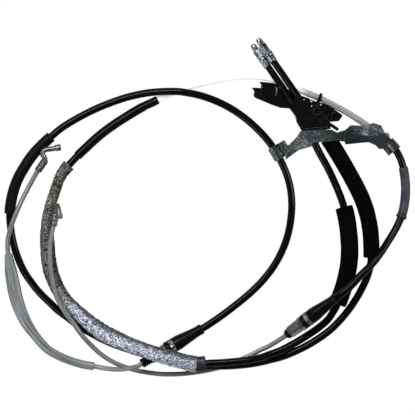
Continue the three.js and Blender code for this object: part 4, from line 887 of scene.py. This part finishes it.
# small pin heads, bright steel and one white dot, set where the housing shows glints: they stand in for
# those glints as painted highlights
glintPins = [(103.2, 105.2, 19.1, 0.95, "brightBit"), (103.6, 100.6, 18.9, 0.85, "brightBit"),
        (96.0, 107.2, 18.8, 0.8, "brightBit"), (113.0, 102.2, 11.4, 0.8, "whiteDot")]
for index, (x, y, top, radius, finish) in enumerate(glintPins):
    rings = [[(x + r * math.cos(math.pi * k / 8), y + r * math.sin(math.pi * k / 8), z) for k in range(16)]
             for r, z in ((radius, top - 1.2), (radius, top - 0.4), (radius * 0.8, top - 0.1),
                          (radius * 0.3, top))]
    makeObject("housing_glint_pin_%d" % (index + 1), *loft(rings), finish, sharpAngle=50)
print("stage: bracket and housing")


# the free cables: each path is worked out along its route, and is not used further
def declare(side, start, end, exitAt):
    line = cable[side]
    distances = spread(start, end, 3.0)
    path = [place(line.point(d)) for d in distances]
    place(line.point(exitAt))


ends = {name: (side, start, end) for name, (side, start, end, _, _) in sheaths.items()}
side, start, end = ends["conduit_a"]
declare(side, start, end, start)
side, start, end = ends["conduit_b_front"]
declare(side, start, end, start)
side, start, end = ends["liner_b"]
declare(side, start, end, start)
side, start, end = ends["conduit_b_rear"]
declare(side, start, end, start)
for side, extra in (("a", ["wire_guard_a"]), ("b", [])):
    line = cable[side]
    start = places[side]["headEnd"] - wire["inHead"]
    end = line.at("crimp") + wire["inCrimp"]
    declare(side, start, end, start)


# floor, light and surroundings
def whiteFloor():
    material, tree, shader = newMaterial("white floor")
    tree.nodes.remove(shader)
    out = tree.nodes["Material Output"]
    path = addNode(tree, "LightPath")
    bright = addNode(tree, "Emission", {"Color": (1, 1, 1, 1), "Strength": 1.0})
    matt = addNode(tree, "BsdfDiffuse", {"Color": (0.75, 0.75, 0.75, 1)})
    mix = addNode(tree, "MixShader", Fac=path.outputs["Is Camera Ray"])
    tree.links.new(matt.outputs["BSDF"], mix.inputs[1])
    tree.links.new(bright.outputs["Emission"], mix.inputs[2])
    tree.links.new(mix.outputs["Shader"], out.inputs["Surface"])
    return material


floorMesh = bpy.data.meshes.new("floor")
corners = [(x, y, -0.0005) for x, y in ((-3, -3), (3, -3), (3, 3), (-3, 3))]
floorMesh.from_pydata(corners, [], [(0, 1, 2, 3)])
floorMesh.materials.append(whiteFloor())
floor = bpy.data.objects.new("floor", floorMesh)
bpy.context.scene.collection.objects.link(floor)

world = bpy.data.worlds.new("world")
bpy.context.scene.world = world
world.use_nodes = True
world.node_tree.nodes["Background"].inputs["Color"].default_value = (0.93, 0.96, 1.0, 1)
world.node_tree.nodes["Background"].inputs["Strength"].default_value = 0.16


def softbox(name, location, target, size, power, colour=(1, 1, 1)):
    data = bpy.data.lights.new(name, "AREA")
    data.shape = "RECTANGLE"
    data.size, data.size_y = size
    data.energy = power
    data.color = colour
    lamp = bpy.data.objects.new(name, data)
    lamp.location = location
    lamp.rotation_euler = (Vector(target) - Vector(location)).to_track_quat("-Z", "Y").to_euler()
    bpy.context.scene.collection.objects.link(lamp)
    return lamp


softbox("key light", (-0.35, 0.8, 1.3), (0, 0, 0), (1.1, 0.22), 16)
softbox("side light", (1.2, 0.2, 0.9), (0, 0, 0), (0.2, 1.0), 6)
softbox("low light", (-0.9, -0.7, 0.9), (0, 0, 0), (0.5, 0.3), 4)
print("stage: light")
